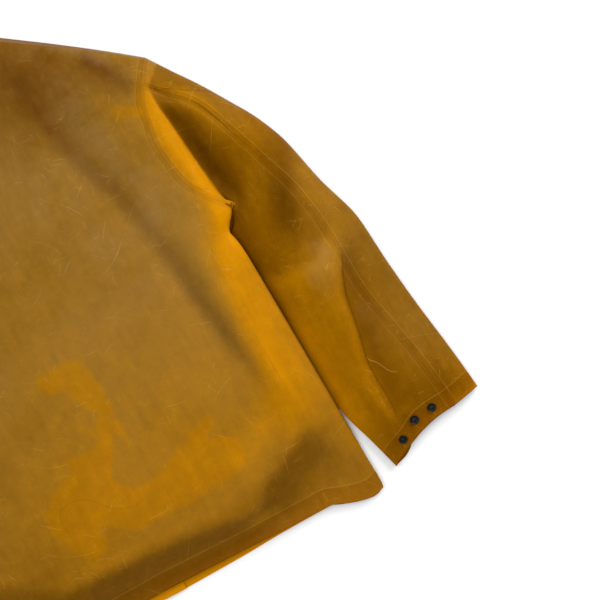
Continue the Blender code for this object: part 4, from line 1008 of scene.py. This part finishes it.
# painted light and shade over the sleeves, as shares of all tones
SLEEVE_LIGHT_AND_SHADE = [
    Fold("beside the fold", 0.014, 0.024, -0.36, (
        (0.292, 0.610), (0.300, 0.570), (0.306, 0.535), (0.312, 0.495), (0.318, 0.455), (0.318, 0.390),
    )),
    Fold("inner elbow", 0.016, 0.028, -0.20, (
        (0.424, 0.515), (0.411, 0.467), (0.392, 0.425), (0.374, 0.385), (0.361, 0.350), (0.352, 0.300),
    )),
    Fold("forearm light", 0.026, 0.034, 0.07, (
        (0.388, 0.300), (0.368, 0.250), (0.352, 0.190), (0.342, 0.120), (0.335, 0.050),
    )),
    Fold("elbow light", 0.026, 0.008, 0.15, (
        (0.440, 0.350), (0.416, 0.332), (0.392, 0.312), (0.376, 0.299), (0.337, 0.300), (0.280, 0.325),
    )),
    Fold("behind the crease", 0.022, 0.003, -0.20, (
        (0.425, 0.345), (0.4171, 0.320), (0.4131, 0.299), (0.400, 0.2744), (0.389, 0.2418), (0.384, 0.2088),
        (0.380, 0.1857), (0.3745, 0.161), (0.373, 0.136), (0.3747, 0.108), (0.3754, 0.040),
    )),
    Fold("shoulder light", 0.012, 0.012, 0.18, (
        (0.302, 0.594), (0.322, 0.564), (0.338, 0.530), (0.350, 0.490),
    )),
    Fold("under the elbow", 0.014, 0.018, -0.14, (
        (0.321, 0.430), (0.325, 0.380), (0.327, 0.340), (0.332, 0.290),
    )),
    Fold("beside the body", 0.020, 0.030, 0.26, (
        (0.312, 0.300), (0.316, 0.220), (0.320, 0.120), (0.335, 0.030),
    )),
    Fold("top of the sleeve", 0.034, 0.036, -0.20, (
        (0.290, 0.680), (0.330, 0.640), (0.400, 0.560), (0.440, 0.480),
    )),
    Fold("outer side", 0.034, 0.020, -0.10, (
        (0.420, 0.520), (0.445, 0.400), (0.465, 0.260), (0.478, 0.160), (0.488, 0.040),
    )),
    Fold("cuff", 0.014, 0.030, -0.16, ((0.480, 0.080), (0.430, 0.075), (0.395, 0.065), (0.360, 0.020))),
    Fold("cuff's corner", 0.008, 0.008, 0.34, ((0.502, 0.066), (0.484, 0.053), (0.465, 0.046), (0.445, 0.040))),
]
# where a painted pale sheen lies on the sleeves
SLEEVE_PALE_SHEENS = [
    Fold("elbow sheen", 0.006, 0.008, 0.4, (
        (0.372, 0.335), (0.388, 0.322), (0.392, 0.306), (0.378, 0.296), (0.350, 0.294),
    )),
    Fold("behind the crease", 0.020, 0.010, 0.2, ((0.395, 0.235), (0.402, 0.190), (0.400, 0.150))),
]
SLEEVE_GREY_SHEENS = [  # where a painted grey sheen lies on the sleeves
    Fold("outer side", 0.034, 0.060, 0.75, (
        (0.420, 0.520), (0.445, 0.400), (0.465, 0.260), (0.478, 0.160), (0.488, 0.040),
    )),
    Fold("elbow", 0.024, 0.020, 0.6, ((0.400, 0.330), (0.380, 0.290), (0.345, 0.280))),
    Fold("top of the sleeve", 0.060, 0.050, 0.8, (
        (0.290, 0.680), (0.330, 0.640), (0.380, 0.580), (0.420, 0.500),
    )),
]
CRINKLE = [  # a wavy pale line above the cuff
    (0.3745, 0.1609), (0.3765, 0.1555), (0.3840, 0.1480), (0.3915, 0.1330), (0.3960, 0.1270), (0.4030, 0.1240),
]
# a dark line of painted shade along the fold by the shoulder
SHOULDER_CREASE = [
    (0.2896, 0.5992), (0.3091, 0.5947), (0.325, 0.5834), (0.348, 0.571), (0.365, 0.560),
]
CREASE = [  # the forearm's sharp fold, drawn as a dark line of painted shade
    (0.4131, 0.299), (0.400, 0.2744), (0.389, 0.2418), (0.384, 0.2088), (0.380, 0.1857), (0.3745, 0.161),
    (0.373, 0.136), (0.3747, 0.108), (0.375, 0.085), (0.3723, 0.067),
]


# %% Marks on the points of a sleeve
def cuff_patch(x, y):
    """Distance to the edge of a small oblong patch by the cuff."""
    dx, dy = x - CUFF_PATCH[0], y - CUFF_PATCH[1]
    sine, cosine = math.sin(CUFF_PATCH_TURN), math.cos(CUFF_PATCH_TURN)
    long, wide = CUFF_PATCH_SIZE
    return np.maximum(np.abs(dx * cosine + dy * sine) - long, np.abs(-dx * sine + dy * cosine) - wide)


def sleeve_marks(middle, hand):
    """What a sleeve's points keep for the material. Near the armhole they go on from the body's own tones."""
    x, y = middle[..., 0], middle[..., 1]
    shape = x.shape
    points = middle.reshape(-1, 3)
    crease, crease_on = trace(x, y, CREASE)
    shoulder, shoulder_on = trace(x, y, SHOULDER_CREASE)
    crinkle, crinkle_on = trace(x, y, CRINKLE)
    nearer = np.abs(shoulder) < np.abs(crease)
    upper_side = middle[..., 2] > SLEEVE_EDGE
    patches = np.minimum(cuff_patch(x, y), patch_distance(SLEEVE_PATCHES, x, y))
    past_fold = step((np.arange(shape[0]) / (FOLD_ROWS + 1) - FOLD_EDGE) / FOLD_BLUR)[:, None]
    own_tone = SLEEVE_TONE + rise(SLEEVE_LIGHT_AND_SHADE, x, y)
    return {
        "tape": np.minimum(distance_to(points, middle[0]), distance_to(points, middle[:, 0])).reshape(shape),
        "seam": FAR,
        "hem": distance_to(points, middle[-1]).reshape(shape),
        "patch": patches if hand > 0 else FAR,
        # painted light and shade
        "tone": body_tone(x, y) * (1 - past_fold) + own_tone * past_fold,
        # distance to the crease lines, drawn as painted shade
        "line": np.where(nearer, shoulder, crease),
        "line_on": np.where(nearer, shoulder_on, crease_on) * upper_side,
        "pale": crinkle,
        "pale_on": crinkle_on * upper_side * (hand > 0),
        # painted pale sheen
        "pale_sheen": rise(SLEEVE_PALE_SHEENS, x, y) * past_fold,
        # painted grey sheen
        "grey_sheen": rise(SLEEVE_GREY_SHEENS, x, y) * past_fold + body_grey_sheen(x * hand, y) * (1 - past_fold),
    }


# %% Sleeves
def sleeve(hand):
    """A sleeve of two pieces, parted at the seam that shows and at one on the floor."""
    name = "left" if hand < 0 else "right"
    start, start_normal = armhole(hand)
    sole = ARM_COLUMNS + UNDER_COLUMNS + ROLL_STEPS + 1
    sections = [sleeve_section(share, hand) for share in np.linspace(0, 1, SLEEVE_RINGS)]
    middle = np.array([start, *underarm_fold(start, sections[0], hand), *sections])
    wrapped = np.concatenate([middle[:, -2:-1], middle, middle[:, 1:2]], axis=1)
    normal = grid_normals(wrapped)[:, 1:-1]
    normal[0] = start_normal
    normal[:, sole : sole + SOLE_COLUMNS + 1] = -UP
    hidden_seam = sole + SOLE_COLUMNS // 2
    shape = middle.shape[:2]
    marks = {mark: np.broadcast_to(values, shape) for mark, values in sleeve_marks(middle, hand).items()}
    for part, columns in (("under", slice(0, hidden_seam + 1)), ("upper", slice(hidden_seam, None))):
        piece = middle[:, columns].copy()
        draw_in(piece[0], piece[1])
        draw_in(piece[:, 0], piece[:, 1])
        draw_in(piece[:, -1], piece[:, -2])
        part_marks = {mark: values[:, columns] for mark, values in marks.items()}
        wall(f"sleeve_{name}_{part}", piece, normal[:, columns], part_marks, hand)


for hand in (1, -1):
    sleeve(hand)


# %% [markdown]
# ## Shader sums
#
# Masks are easier to read as sums than as wires. A small class wraps a socket, and each operator adds its Math
# node, so that a line of Python stands for a row of nodes.


# %% Sockets that take part in sums
class Wire:
    """A socket of a shader graph. Sums and products of wires and numbers add the Math nodes for them."""

    def __init__(self, graph, socket):
        self.graph, self.socket = graph, socket

    def other(self, name):
        """Another output of the same node."""
        return Wire(self.graph, self.socket.node.outputs[name])

    def _sum(self, operation, first, second):
        return self.graph.node("ShaderNodeMath", {"operation": operation}, {0: first, 1: second})

    def __add__(self, other):
        return self._sum("ADD", self, other)

    __radd__ = __add__

    def __sub__(self, other):
        return self._sum("SUBTRACT", self, other)

    def __rsub__(self, other):
        return self._sum("SUBTRACT", other, self)

    def __mul__(self, other):
        return self._sum("MULTIPLY", self, other)

    __rmul__ = __mul__


# %% The nodes of one material
class Graph:
    """A material whose nodes are added by calls."""

    def __init__(self, name):
        self.material = bpy.data.materials.new(name)
        self.material.use_nodes = True
        self.tree = self.material.node_tree
        self.shader = self.tree.nodes["Principled BSDF"]

    def node(self, kind, settings, values, output=0):
        """A node of that type: settings first, then the values or wires of its sockets."""
        made = self.tree.nodes.new(kind)
        for key, value in settings.items():
            setattr(made, key, value)
        for key, value in values.items():
            self.plug(made.inputs[key], value)
        return Wire(self, made.outputs[output])

    def plug(self, socket, value):
        if isinstance(value, Wire):
            self.tree.links.new(value.socket, socket)
        else:
            socket.default_value = value

    def set(self, **values):
        """Plugs values into the shader, with _ for a space in a socket's name."""
        for name, value in values.items():
            self.plug(self.shader.inputs[name.replace("_", " ")], value)

    def mark(self, name):
        return self.node("ShaderNodeAttribute", {"attribute_name": name}, {}, "Fac")

    def object_place(self):
        return self.node("ShaderNodeTexCoord", {}, {}, "Object")

    def between(self, value, low, high):
        """0 at low, 1 at high."""
        settings = {"interpolation_type": "SMOOTHSTEP"}
        return self.node("ShaderNodeMapRange", settings, {0: value, 1: low, 2: high})

    def under(self, value, low, high):
        """1 at low, 0 at high."""
        return 1 - self.between(value, low, high)

    def stripe(self, value, start, full, end, gone):
        """1 from full to end, 0 before start and when gone."""
        return self.between(value, start, full) * self.under(value, end, gone)

    def blend(self, mask, first, second):
        return self.node("ShaderNodeMix", {"data_type": "RGBA"}, {0: mask, 6: first, 7: second}, 2)

    def maths(self, operation, value):
        return self.node("ShaderNodeMath", {"operation": operation}, {0: value})

    def ramp(self, value, stops):
        """A colour that changes along the given stops."""
        made = self.node("ShaderNodeValToRGB", {}, {0: value})
        points = made.socket.node.color_ramp.elements
        while len(points) < len(stops):
            points.new(0.5)
        for point, (position, colour) in zip(points, stops, strict=True):
            point.position, point.color = position, colour
        return made

    def noise(self, vector, scale, detail=3.0, rough=0.5):
        values = {"Vector": vector, "Scale": scale, "Detail": detail, "Roughness": rough}
        return self.node("ShaderNodeTexNoise", {}, values)


def rgb(red, green, blue):
    """A colour as a screen shows it, 0 to 255, as the shader's own numbers."""
    shares = [value / 255 for value in (red, green, blue)]
    linear = [s / 12.92 if s <= 0.04045 else ((s + 0.055) / 1.055) ** 2.4 for s in shares]
    return (*linear, 1.0)


# %% [markdown]
# ## The coated cloth
#
# The cloth is woven, with a thick see-through coat the colour of amber that has fine scratches. Flat on the
# table it looks dusty; that grey is a painted sheen, the overhead light's reflection. Where it rises and the
# light comes through, it glows orange, as painted light. One tone of painted light and shade from dark to
# light, read through a clear and a sheened ramp of colours, holds all of that.

# %% Colours of the cloth
SHEENED = [  # with the painted sheen: lit and shaded copies, from its deepest hollow to where it glows
    (0.00, rgb(60, 32, 4)),
    (0.22, rgb(98, 60, 10)),
    (0.42, rgb(116, 79, 20)),
    (0.60, rgb(141, 98, 26)),
    (0.74, rgb(162, 110, 22)),
    (1.00, rgb(202, 127, 0)),
]
CLEAR = [  # the same without the painted sheen
    (0.00, rgb(58, 30, 0)),
    (0.22, rgb(98, 58, 0)),
    (0.42, rgb(119, 74, 0)),
    (0.60, rgb(144, 91, 0)),
    (0.74, rgb(164, 104, 0)),
    (1.00, rgb(202, 127, 0)),
]
# the colour of the painted sheen, the overhead light's reflection
SHEEN_COLOUR = rgb(138, 106, 66)
TAPE = rgb(134, 74, 0)
# the dark of the seams, and of the painted shade along the creases
DEEP = rgb(58, 28, 2)
SCRATCH = rgb(190, 146, 62)

# %% [markdown]
# ## Scratches
#
# A scratch is a short fine line that bends a little. It could be painted on an image, which blurs when seen
# close. Here a cell pattern gives each cell a centre and three numbers of chance: they turn the line, set its
# length and leave some cells empty. Six layers reach from long scratches to tiny ones.

# %% Fine scratches in the coat
Scratches = namedtuple("Scratches", "scale length width empty strength")
SCRATCHES = [  # cells a metre, longest scratch, half its width, the share of empty cells, and how much it shows
    Scratches(7, 0.055, 0.00050, 0.30, 1.3),
    Scratches(11, 0.034, 0.00050, 0.20, 1.4),
    Scratches(24, 0.017, 0.00045, 0.20, 1.2),
    Scratches(47, 0.009, 0.00045, 0.10, 1.0),
    Scratches(95, 0.0048, 0.00045, 0.45, 0.6),
    Scratches(170, 0.0026, 0.00040, 0.45, 0.45),
]
BEND = 0.6  # how far the ends of a scratch bend away, for its length
SHORTEST = 0.25  # the shortest scratch against the longest of its layer
TAPER, CORE = 0.5, 0.4  # shares of its length and of its width over which a scratch is solid
FAINT = 0.3  # chance over which scratches go from none to full strength


def scratch_layer(g, place, layer):
    """One fine scratch in each cell of a pattern, with its own direction, length and bend."""
    values = {"Vector": place, "Scale": layer.scale}
    cell = g.node("ShaderNodeTexVoronoi", {"voronoi_dimensions": "2D"}, values, "Position")
    offset = g.node("ShaderNodeVectorMath", {"operation": "SUBTRACT"}, {0: place, 1: cell})
    x = g.node("ShaderNodeSeparateXYZ", {}, {0: offset}, "X")
    y = x.other("Y")
    first = g.node("ShaderNodeSeparateColor", {}, {0: cell.other("Color")}, "Red")
    second, third = first.other("Green"), first.other("Blue")
    turn = first * 2 * math.pi
    sine, cosine = g.maths("SINE", turn), g.maths("COSINE", turn)
    forward = x * cosine + y * sine
    across = y * cosine - x * sine + forward * forward * (third - 0.5) * (BEND / layer.length)
    reach = (SHORTEST + (1 - SHORTEST) * second) * layer.length
    ends = g.under(g.maths("ABSOLUTE", forward), reach * TAPER, reach)
    body = g.under(g.maths("ABSOLUTE", across), layer.width * CORE, layer.width)
    return body * ends * g.between(third, layer.empty, layer.empty + FAINT) * layer.strength


# %% [markdown]
# ## From tone to cloth
#
# The marks on the points give the tone of painted light and shade, and noise of four sizes makes it cloudy.
# Tapes and hems are bands at a distance from an edge. Each line or band is a mask that blends one more colour
# in, from the widest to the finest, as a painter would lay them.

# %% Bands, lines and edges on the cloth
TAPE_BAND = (0.0062, 0.0068)  # a tape ends here, in metres from its seam
TAPE_EDGE = (0.0060, 0.0064, 0.0067, 0.0073)  # its pale edge line: start, full, end, gone
HEM_BAND = (0.0246, 0.0252)  # the turned hem ends here
HEM_EDGE = (0.0240, 0.0246, 0.0254, 0.0262)
SEAM_LINE, STITCH_LINE, RIM_LINE = (0.0002, 0.0008), (0.0002, 0.0009), (0.0004, 0.0014)
CREASE_LINE, PALE_LINE = (0.0003, 0.0009), (0.0003, 0.0010)
PATCH_EDGE, PATCH_RAGGED = (-0.0070, 0.0030), 0.022  # how soft and how ragged the edge of a stuck patch is
PALE_RAGGED = 0.003
# flat cloth gets the painted sheen, steep cloth the painted shade
FLAT_NORMAL, SIDE_NORMAL = (0.86, 0.995), (0.05, 0.50)  # upward share of the normal on flat and on steep cloth
STREAK_TURN, STREAK_STRETCH = 0.2, 0.16  # one noise is drawn out into streaks along the jacket


# %% The coated cloth
def coated_cloth():
    g = Graph("coated_cloth")
    place = g.object_place()
    cloud = g.noise(place, 7.0, 4.0, 0.55)
    smudge = g.noise(place, 24.0, 5.0, 0.6)
    fine = g.noise(place, 70.0, 8.0, 0.68)
    grain = g.noise(place, 420.0, 2.0)
    values = {"Vector": place, "Rotation": (0, 0, STREAK_TURN), "Scale": (1, STREAK_STRETCH, 1)}
    streak = g.noise(g.node("ShaderNodeMapping", {}, values), 110.0, 4.0, 0.6)
    normal = g.node("ShaderNodeNewGeometry", {}, {}, "Normal")
    up = g.node("ShaderNodeSeparateXYZ", {}, {0: normal}, "Z")
    # the last of these marks is the share of painted grey sheen
    tape, hem_edge, grey_sheen = g.mark("tape"), g.mark("hem"), g.mark("grey_sheen")
    stuck = g.under(g.mark("patch") + (smudge - 0.5) * PATCH_RAGGED, *PATCH_EDGE)
    band = g.under(tape, *TAPE_BAND)
    hem_band = g.under(hem_edge, *HEM_BAND)

    # how light the cloth is: painted light and shade, clouds, stuck patches, then what tapes, hems and steep
    # sides take off, the last as painted shade
    tone = g.mark("tone")
    for pattern, strength in ((cloud, 0.18), (smudge, 0.16), (fine, 0.24), (streak, 0.16)):
        tone = tone + (pattern - 0.5) * strength
    tone = tone + stuck * (0.04 + 0.08 * cloud)
    tone = tone - band * 0.04 - hem_band * (0.03 + 0.05 * (1 - grey_sheen)) - g.under(up, *SIDE_NORMAL) * 0.22
    # the share of painted sheen picks between the clear and the sheened ramp
    colour = g.blend(grey_sheen * (1 - stuck * 0.6), g.ramp(tone, CLEAR), g.ramp(tone, SHEENED))

    # a painted sheen, the overhead light's reflection, most where a pale sheen is marked or sheened cloth lies
    # flat
    pale_sheen = g.mark("pale_sheen") * g.between(smudge, 0.30, 0.70)
    sheen_amount = pale_sheen * 0.55 + grey_sheen * g.between(up, *FLAT_NORMAL) * g.between(cloud, 0.40, 0.70) * 0.14
    colour = g.blend(sheen_amount * (1 - stuck * 0.7), colour, SHEEN_COLOUR)

    # tapes and hems, their pale edge lines, the seams, and the rim of the cloth
    colour = g.blend(band * 0.12 + hem_band * (0.12 + 0.18 * grey_sheen), colour, TAPE)
    colour = g.blend(g.stripe(tape, *TAPE_EDGE) * 0.20, colour, SCRATCH)
    seams = g.under(tape, *STITCH_LINE) * (0.05 + 0.13 * grey_sheen) + g.under(g.mark("seam"), *SEAM_LINE) * 0.05
    colour = g.blend(seams, colour, DEEP)
    colour = g.blend(g.stripe(hem_edge, *HEM_EDGE) * 0.14, colour, SCRATCH)
    colour = g.blend(g.under(hem_edge, *RIM_LINE) * 0.75, colour, DEEP)

    # dark lines of painted shade along the creases, the crinkle by the cuff, and the scratches
    crease = g.mark("line_on") * g.under(g.maths("ABSOLUTE", g.mark("line")), *CREASE_LINE)
    colour = g.blend(crease * 0.40, colour, DEEP)
    wavering = g.mark("pale") + (smudge - 0.5) * PALE_RAGGED
    crinkle = g.mark("pale_on") * g.under(g.maths("ABSOLUTE", wavering), *PALE_LINE)
    colour = g.blend(crinkle * 0.35, colour, SCRATCH)
    lines = sum(scratch_layer(g, place, layer) for layer in SCRATCHES)
    lines = lines * g.between(tone, 0.05, 0.65) * (0.10 + 0.36 * g.between(smudge, 0.38, 0.66))
    colour = g.blend(lines, colour, SCRATCH)

    relief = grain * 0.06 + lines * 0.05 + band * 0.6 + hem_band * 0.5 + smudge * 0.25
    bump = g.node("ShaderNodeBump", {}, {"Strength": 0.35, "Distance": 0.0006, "Height": relief})
    g.set(Base_Color=colour, Roughness=0.36 + 0.20 * smudge + 0.10 * stuck, Normal=bump)
    g.set(Subsurface_Weight=0.22, Subsurface_Radius=(1.0, 0.34, 0.05), Subsurface_Scale=0.012)
    g.set(Specular_IOR_Level=0.04, Specular_Tint=(1.0, 0.55, 0.08, 1.0))
    return g.material


cloth = coated_cloth()
print("cloth nodes:", len(cloth.node_tree.nodes))

# %% [markdown]
# ## Snaps
#
# Each cuff closes with round black snaps. A cap is a turned disc with a raised rim, a shallow dish and a ring
# of small bars, so a lathe profile is spun once, and Geometry Nodes copy the bars round it.


# %% The snaps' black, and the turned cap
def snap_black():
    g = Graph("snap_black")
    wear = g.noise(g.object_place(), 900.0, 3.0)
    black = g.blend(g.between(wear, 0.55, 0.8), rgb(3, 3, 4), rgb(14, 14, 16))
    g.set(Base_Color=black, Roughness=0.30 + wear * 0.2, Specular_IOR_Level=0.25)
    return g.material


CAP_PROFILE = [  # radius and height from the cloth up and in to the middle
    (0.0057, 0.0000), (0.0060, 0.0004), (0.0060, 0.0014), (0.0058, 0.0020), (0.0055, 0.0023), (0.0051, 0.0022),
    (0.0048, 0.0018), (0.0045, 0.0015), (0.0028, 0.0014), (0.0022, 0.0015), (0.0018, 0.0018), (0.0, 0.0019),
]
CAP_SIDES = 48
CAP_SHARP = math.radians(45)


def spin(name, profile, sides):
    """A closed turned body from a profile that ends on the axis."""
    angles = np.linspace(0, 2 * math.pi, sides, endpoint=False)
    points = [(r * math.cos(a), r * math.sin(a), h) for r, h in profile[:-1] for a in angles]
    rings = np.arange(len(points)).reshape(-1, sides)
    faces = [
        (rings[i, k], rings[i, (k + 1) % sides], rings[i + 1, (k + 1) % sides], rings[i + 1, k])
        for i in range(len(rings) - 1)
        for k in range(sides)
    ]
    points.append((0.0, 0.0, profile[-1][1]))
    faces += [(rings[-1, k], rings[-1, (k + 1) % sides], len(points) - 1) for k in range(sides)]
    faces.append(tuple(rings[0, ::-1]))
    mesh = bpy.data.meshes.new(name)
    mesh.from_pydata(points, [], [tuple(int(v) for v in face) for face in faces])
    mesh.shade_smooth()
    mesh.set_sharp_from_angle(angle=CAP_SHARP)
    made = bpy.data.objects.new(name, mesh)
    bpy.context.scene.collection.objects.link(made)
    return made


# %% A bar, and a tree with named inputs
BAR_SIZE = (0.0016, 0.00028, 0.0005)
BAR_HEIGHT = 0.0016  # of a bar's middle, above the cloth


def new_tree(name, **inputs):
    """A Geometry Nodes tree with named inputs for its sizes."""
    tree = bpy.data.node_groups.new(name, "GeometryNodeTree")
    tree.interface.new_socket("Geometry", in_out="INPUT", socket_type="NodeSocketGeometry")
    for label, (kind, value) in inputs.items():
        socket = tree.interface.new_socket(label, in_out="INPUT", socket_type=kind)
        socket.default_value = value
    tree.interface.new_socket("Geometry", in_out="OUTPUT", socket_type="NodeSocketGeometry")
    return tree


# %% A tree that sets caps on points
def cap_tree(body_object, material):
    """Turns points with a 'facing' direction into snap caps, each with a ring of bars."""
    tree = new_tree("snap_caps", Bars=("NodeSocketInt", 16), Ring=("NodeSocketFloat", 0.0037))
    add, join = tree.nodes.new, tree.links.new
    group_in, group_out = add("NodeGroupInput"), add("NodeGroupOutput")
    ring = add("GeometryNodeMeshCircle")
    join(group_in.outputs["Bars"], ring.inputs["Vertices"])
    join(group_in.outputs["Ring"], ring.inputs["Radius"])
    bar = add("GeometryNodeMeshCube")
    bar.inputs["Size"].default_value = BAR_SIZE
    turn = add("FunctionNodeAlignRotationToVector")
    turn.axis = "X"
    spot = add("GeometryNodeInputPosition")
    join(spot.outputs[0], turn.inputs["Vector"])
    bars = add("GeometryNodeInstanceOnPoints")
    join(ring.outputs[0], bars.inputs["Points"])
    join(bar.outputs[0], bars.inputs["Instance"])
    join(turn.outputs[0], bars.inputs["Rotation"])
    lift = add("GeometryNodeTransform")
    lift.inputs["Translation"].default_value = (0, 0, BAR_HEIGHT)
    join(bars.outputs[0], lift.inputs["Geometry"])
    body = add("GeometryNodeObjectInfo")
    body.inputs["Object"].default_value = body_object
    one = add("GeometryNodeJoinGeometry")
    join(lift.outputs[0], one.inputs[0])
    join(body.outputs["Geometry"], one.inputs[0])
    facing = add("GeometryNodeInputNamedAttribute")
    facing.data_type = "FLOAT_VECTOR"
    facing.inputs["Name"].default_value = "facing"
    stand = add("FunctionNodeAlignRotationToVector")
    stand.axis = "Z"
    join(facing.outputs[0], stand.inputs["Vector"])
    caps = add("GeometryNodeInstanceOnPoints")
    join(group_in.outputs["Geometry"], caps.inputs["Points"])
    join(one.outputs[0], caps.inputs["Instance"])
    join(stand.outputs[0], caps.inputs["Rotation"])
    real = add("GeometryNodeRealizeInstances")
    join(caps.outputs[0], real.inputs[0])
    paint = add("GeometryNodeSetMaterial")
    paint.inputs["Material"].default_value = material
    join(real.outputs[0], paint.inputs["Geometry"])
    join(paint.outputs[0], group_out.inputs[0])
    return tree


# %% The caps on their solids' seats
FACES_DOWN = -0.4  # a face of a cap's underside points down by more than this
SEAT_LAYER = 0.0002  # points this close to the lowest one lie on the underside


def seat_of(node):
    """The middle of a solid cap's underside, and the way that the cap faces."""
    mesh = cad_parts[node].data
    normals = [p.normal * -1 for p in mesh.polygons if p.normal.z < FACES_DOWN]
    facing = sum(normals, Vector()).normalized()
    spots = [v.co for v in mesh.vertices]
    lowest = min(facing.dot(p) for p in spots)
    base = [p for p in spots if facing.dot(p) < lowest + SEAT_LAYER]
    return sum(base, Vector()) / len(base), facing


cap_body = spin("cap_body", CAP_PROFILE, CAP_SIDES)
snap_nodes = sorted(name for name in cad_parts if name.startswith("snap"))
seats = [seat_of(name) for name in snap_nodes]
points_mesh = bpy.data.meshes.new("snap_caps")
points_mesh.from_pydata([tuple(seat) for seat, _ in seats], [], [])
layer = points_mesh.attributes.new("facing", "FLOAT_VECTOR", "POINT")
layer.data.foreach_set("vector", [c for _, facing in seats for c in facing])
snap_points = bpy.data.objects.new("snap_points", points_mesh)
bpy.context.scene.collection.objects.link(snap_points)
modifier = snap_points.modifiers.new("caps", "NODES")
modifier.node_group = cap_tree(cap_body, snap_black())
evaluated = snap_points.evaluated_get(bpy.context.evaluated_depsgraph_get())
caps = bpy.data.objects.new("snap_caps", bpy.data.meshes.new_from_object(evaluated))
bpy.context.scene.collection.objects.link(caps)
bpy.data.objects.remove(snap_points)
bpy.data.objects.remove(cap_body)
print("caps:", len(seats), "faces:", len(caps.data.polygons))

# %% [markdown]
# ## Into the frame
#
# Each sheet stands for its solid and takes its place when the jacket is moved.
# The caps stand for all six snaps together.

# %% Ride and replace
for name, sheet in sheets.items():
    sheet.data.materials.append(cloth)
    sheet.name = name + "_cloth"
    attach(sheet, "root")
    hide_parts(name)
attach(caps, "root")
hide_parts(*snap_nodes)

# %% [markdown]
# ## Table, light and camera
#
# A photograph of clothes laid flat is taken from straight above a white table. The camera is turned a little,
# so that the jacket's centre line leans. A wide low light comes from the wearer's right and draws the folds,
# and a soft one from above lights the cloth that faces it; the grey sheen there is painted into the colour.

# %% Table
TABLE = 4.0  # from its middle to its edges
corners = [(x, y, 0) for x, y in ((-TABLE, -TABLE), (TABLE, -TABLE), (TABLE, TABLE), (-TABLE, TABLE))]
floor_mesh = bpy.data.meshes.new("floor")
floor_mesh.from_pydata(corners, [], [(0, 1, 2, 3)])
floor = bpy.data.objects.new("floor", floor_mesh)
bpy.context.scene.collection.objects.link(floor)
pale_floor = Graph("pale_floor")
pale_floor.set(Base_Color=rgb(246, 246, 246), Roughness=0.9)
floor.data.materials.append(pale_floor.material)


# %% Lights
def area_light(name, place, target, size, power, colour):
    light = bpy.data.lights.new(name, "AREA")
    light.shape = "RECTANGLE"
    light.size, light.size_y = size
    light.energy, light.color = power, colour
    made = bpy.data.objects.new(name, light)
    made.location = place
    made.rotation_euler = (Vector(target) - Vector(place)).to_track_quat("-Z", "Y").to_euler()
    bpy.context.scene.collection.objects.link(made)


area_light("window", (2.3, 0.9, 1.0), (0.2, 0.0, 0.0), (2.2, 1.2), 62, (1.0, 0.98, 0.95))
area_light("ceiling", (-0.6, 0.5, 2.6), (0.0, 0.0, 0.0), (2.6, 2.6), 42, (0.97, 0.98, 1.0))
world = bpy.data.worlds.new("room")
world.use_nodes = True
world.node_tree.nodes["Background"].inputs["Color"].default_value = (1, 1, 1, 1)
world.node_tree.nodes["Background"].inputs["Strength"].default_value = 0.55
bpy.context.scene.world = world

# %% Camera
LEAN = math.atan2(0.4695, 0.8829)  # the slope of the jacket's centre line in the photograph
camera = bpy.data.objects.new("camera", bpy.data.cameras.new("camera"))
camera.data.lens, camera.data.sensor_width = 65, 36
camera.location = (0.333, 0.268 + Y_SHIFT, 1.444)
camera.rotation_euler = (0, 0, -LEAN)
bpy.context.scene.collection.objects.link(camera)
bpy.context.scene.camera = camera
bpy.context.scene.view_settings.view_transform = "Standard"
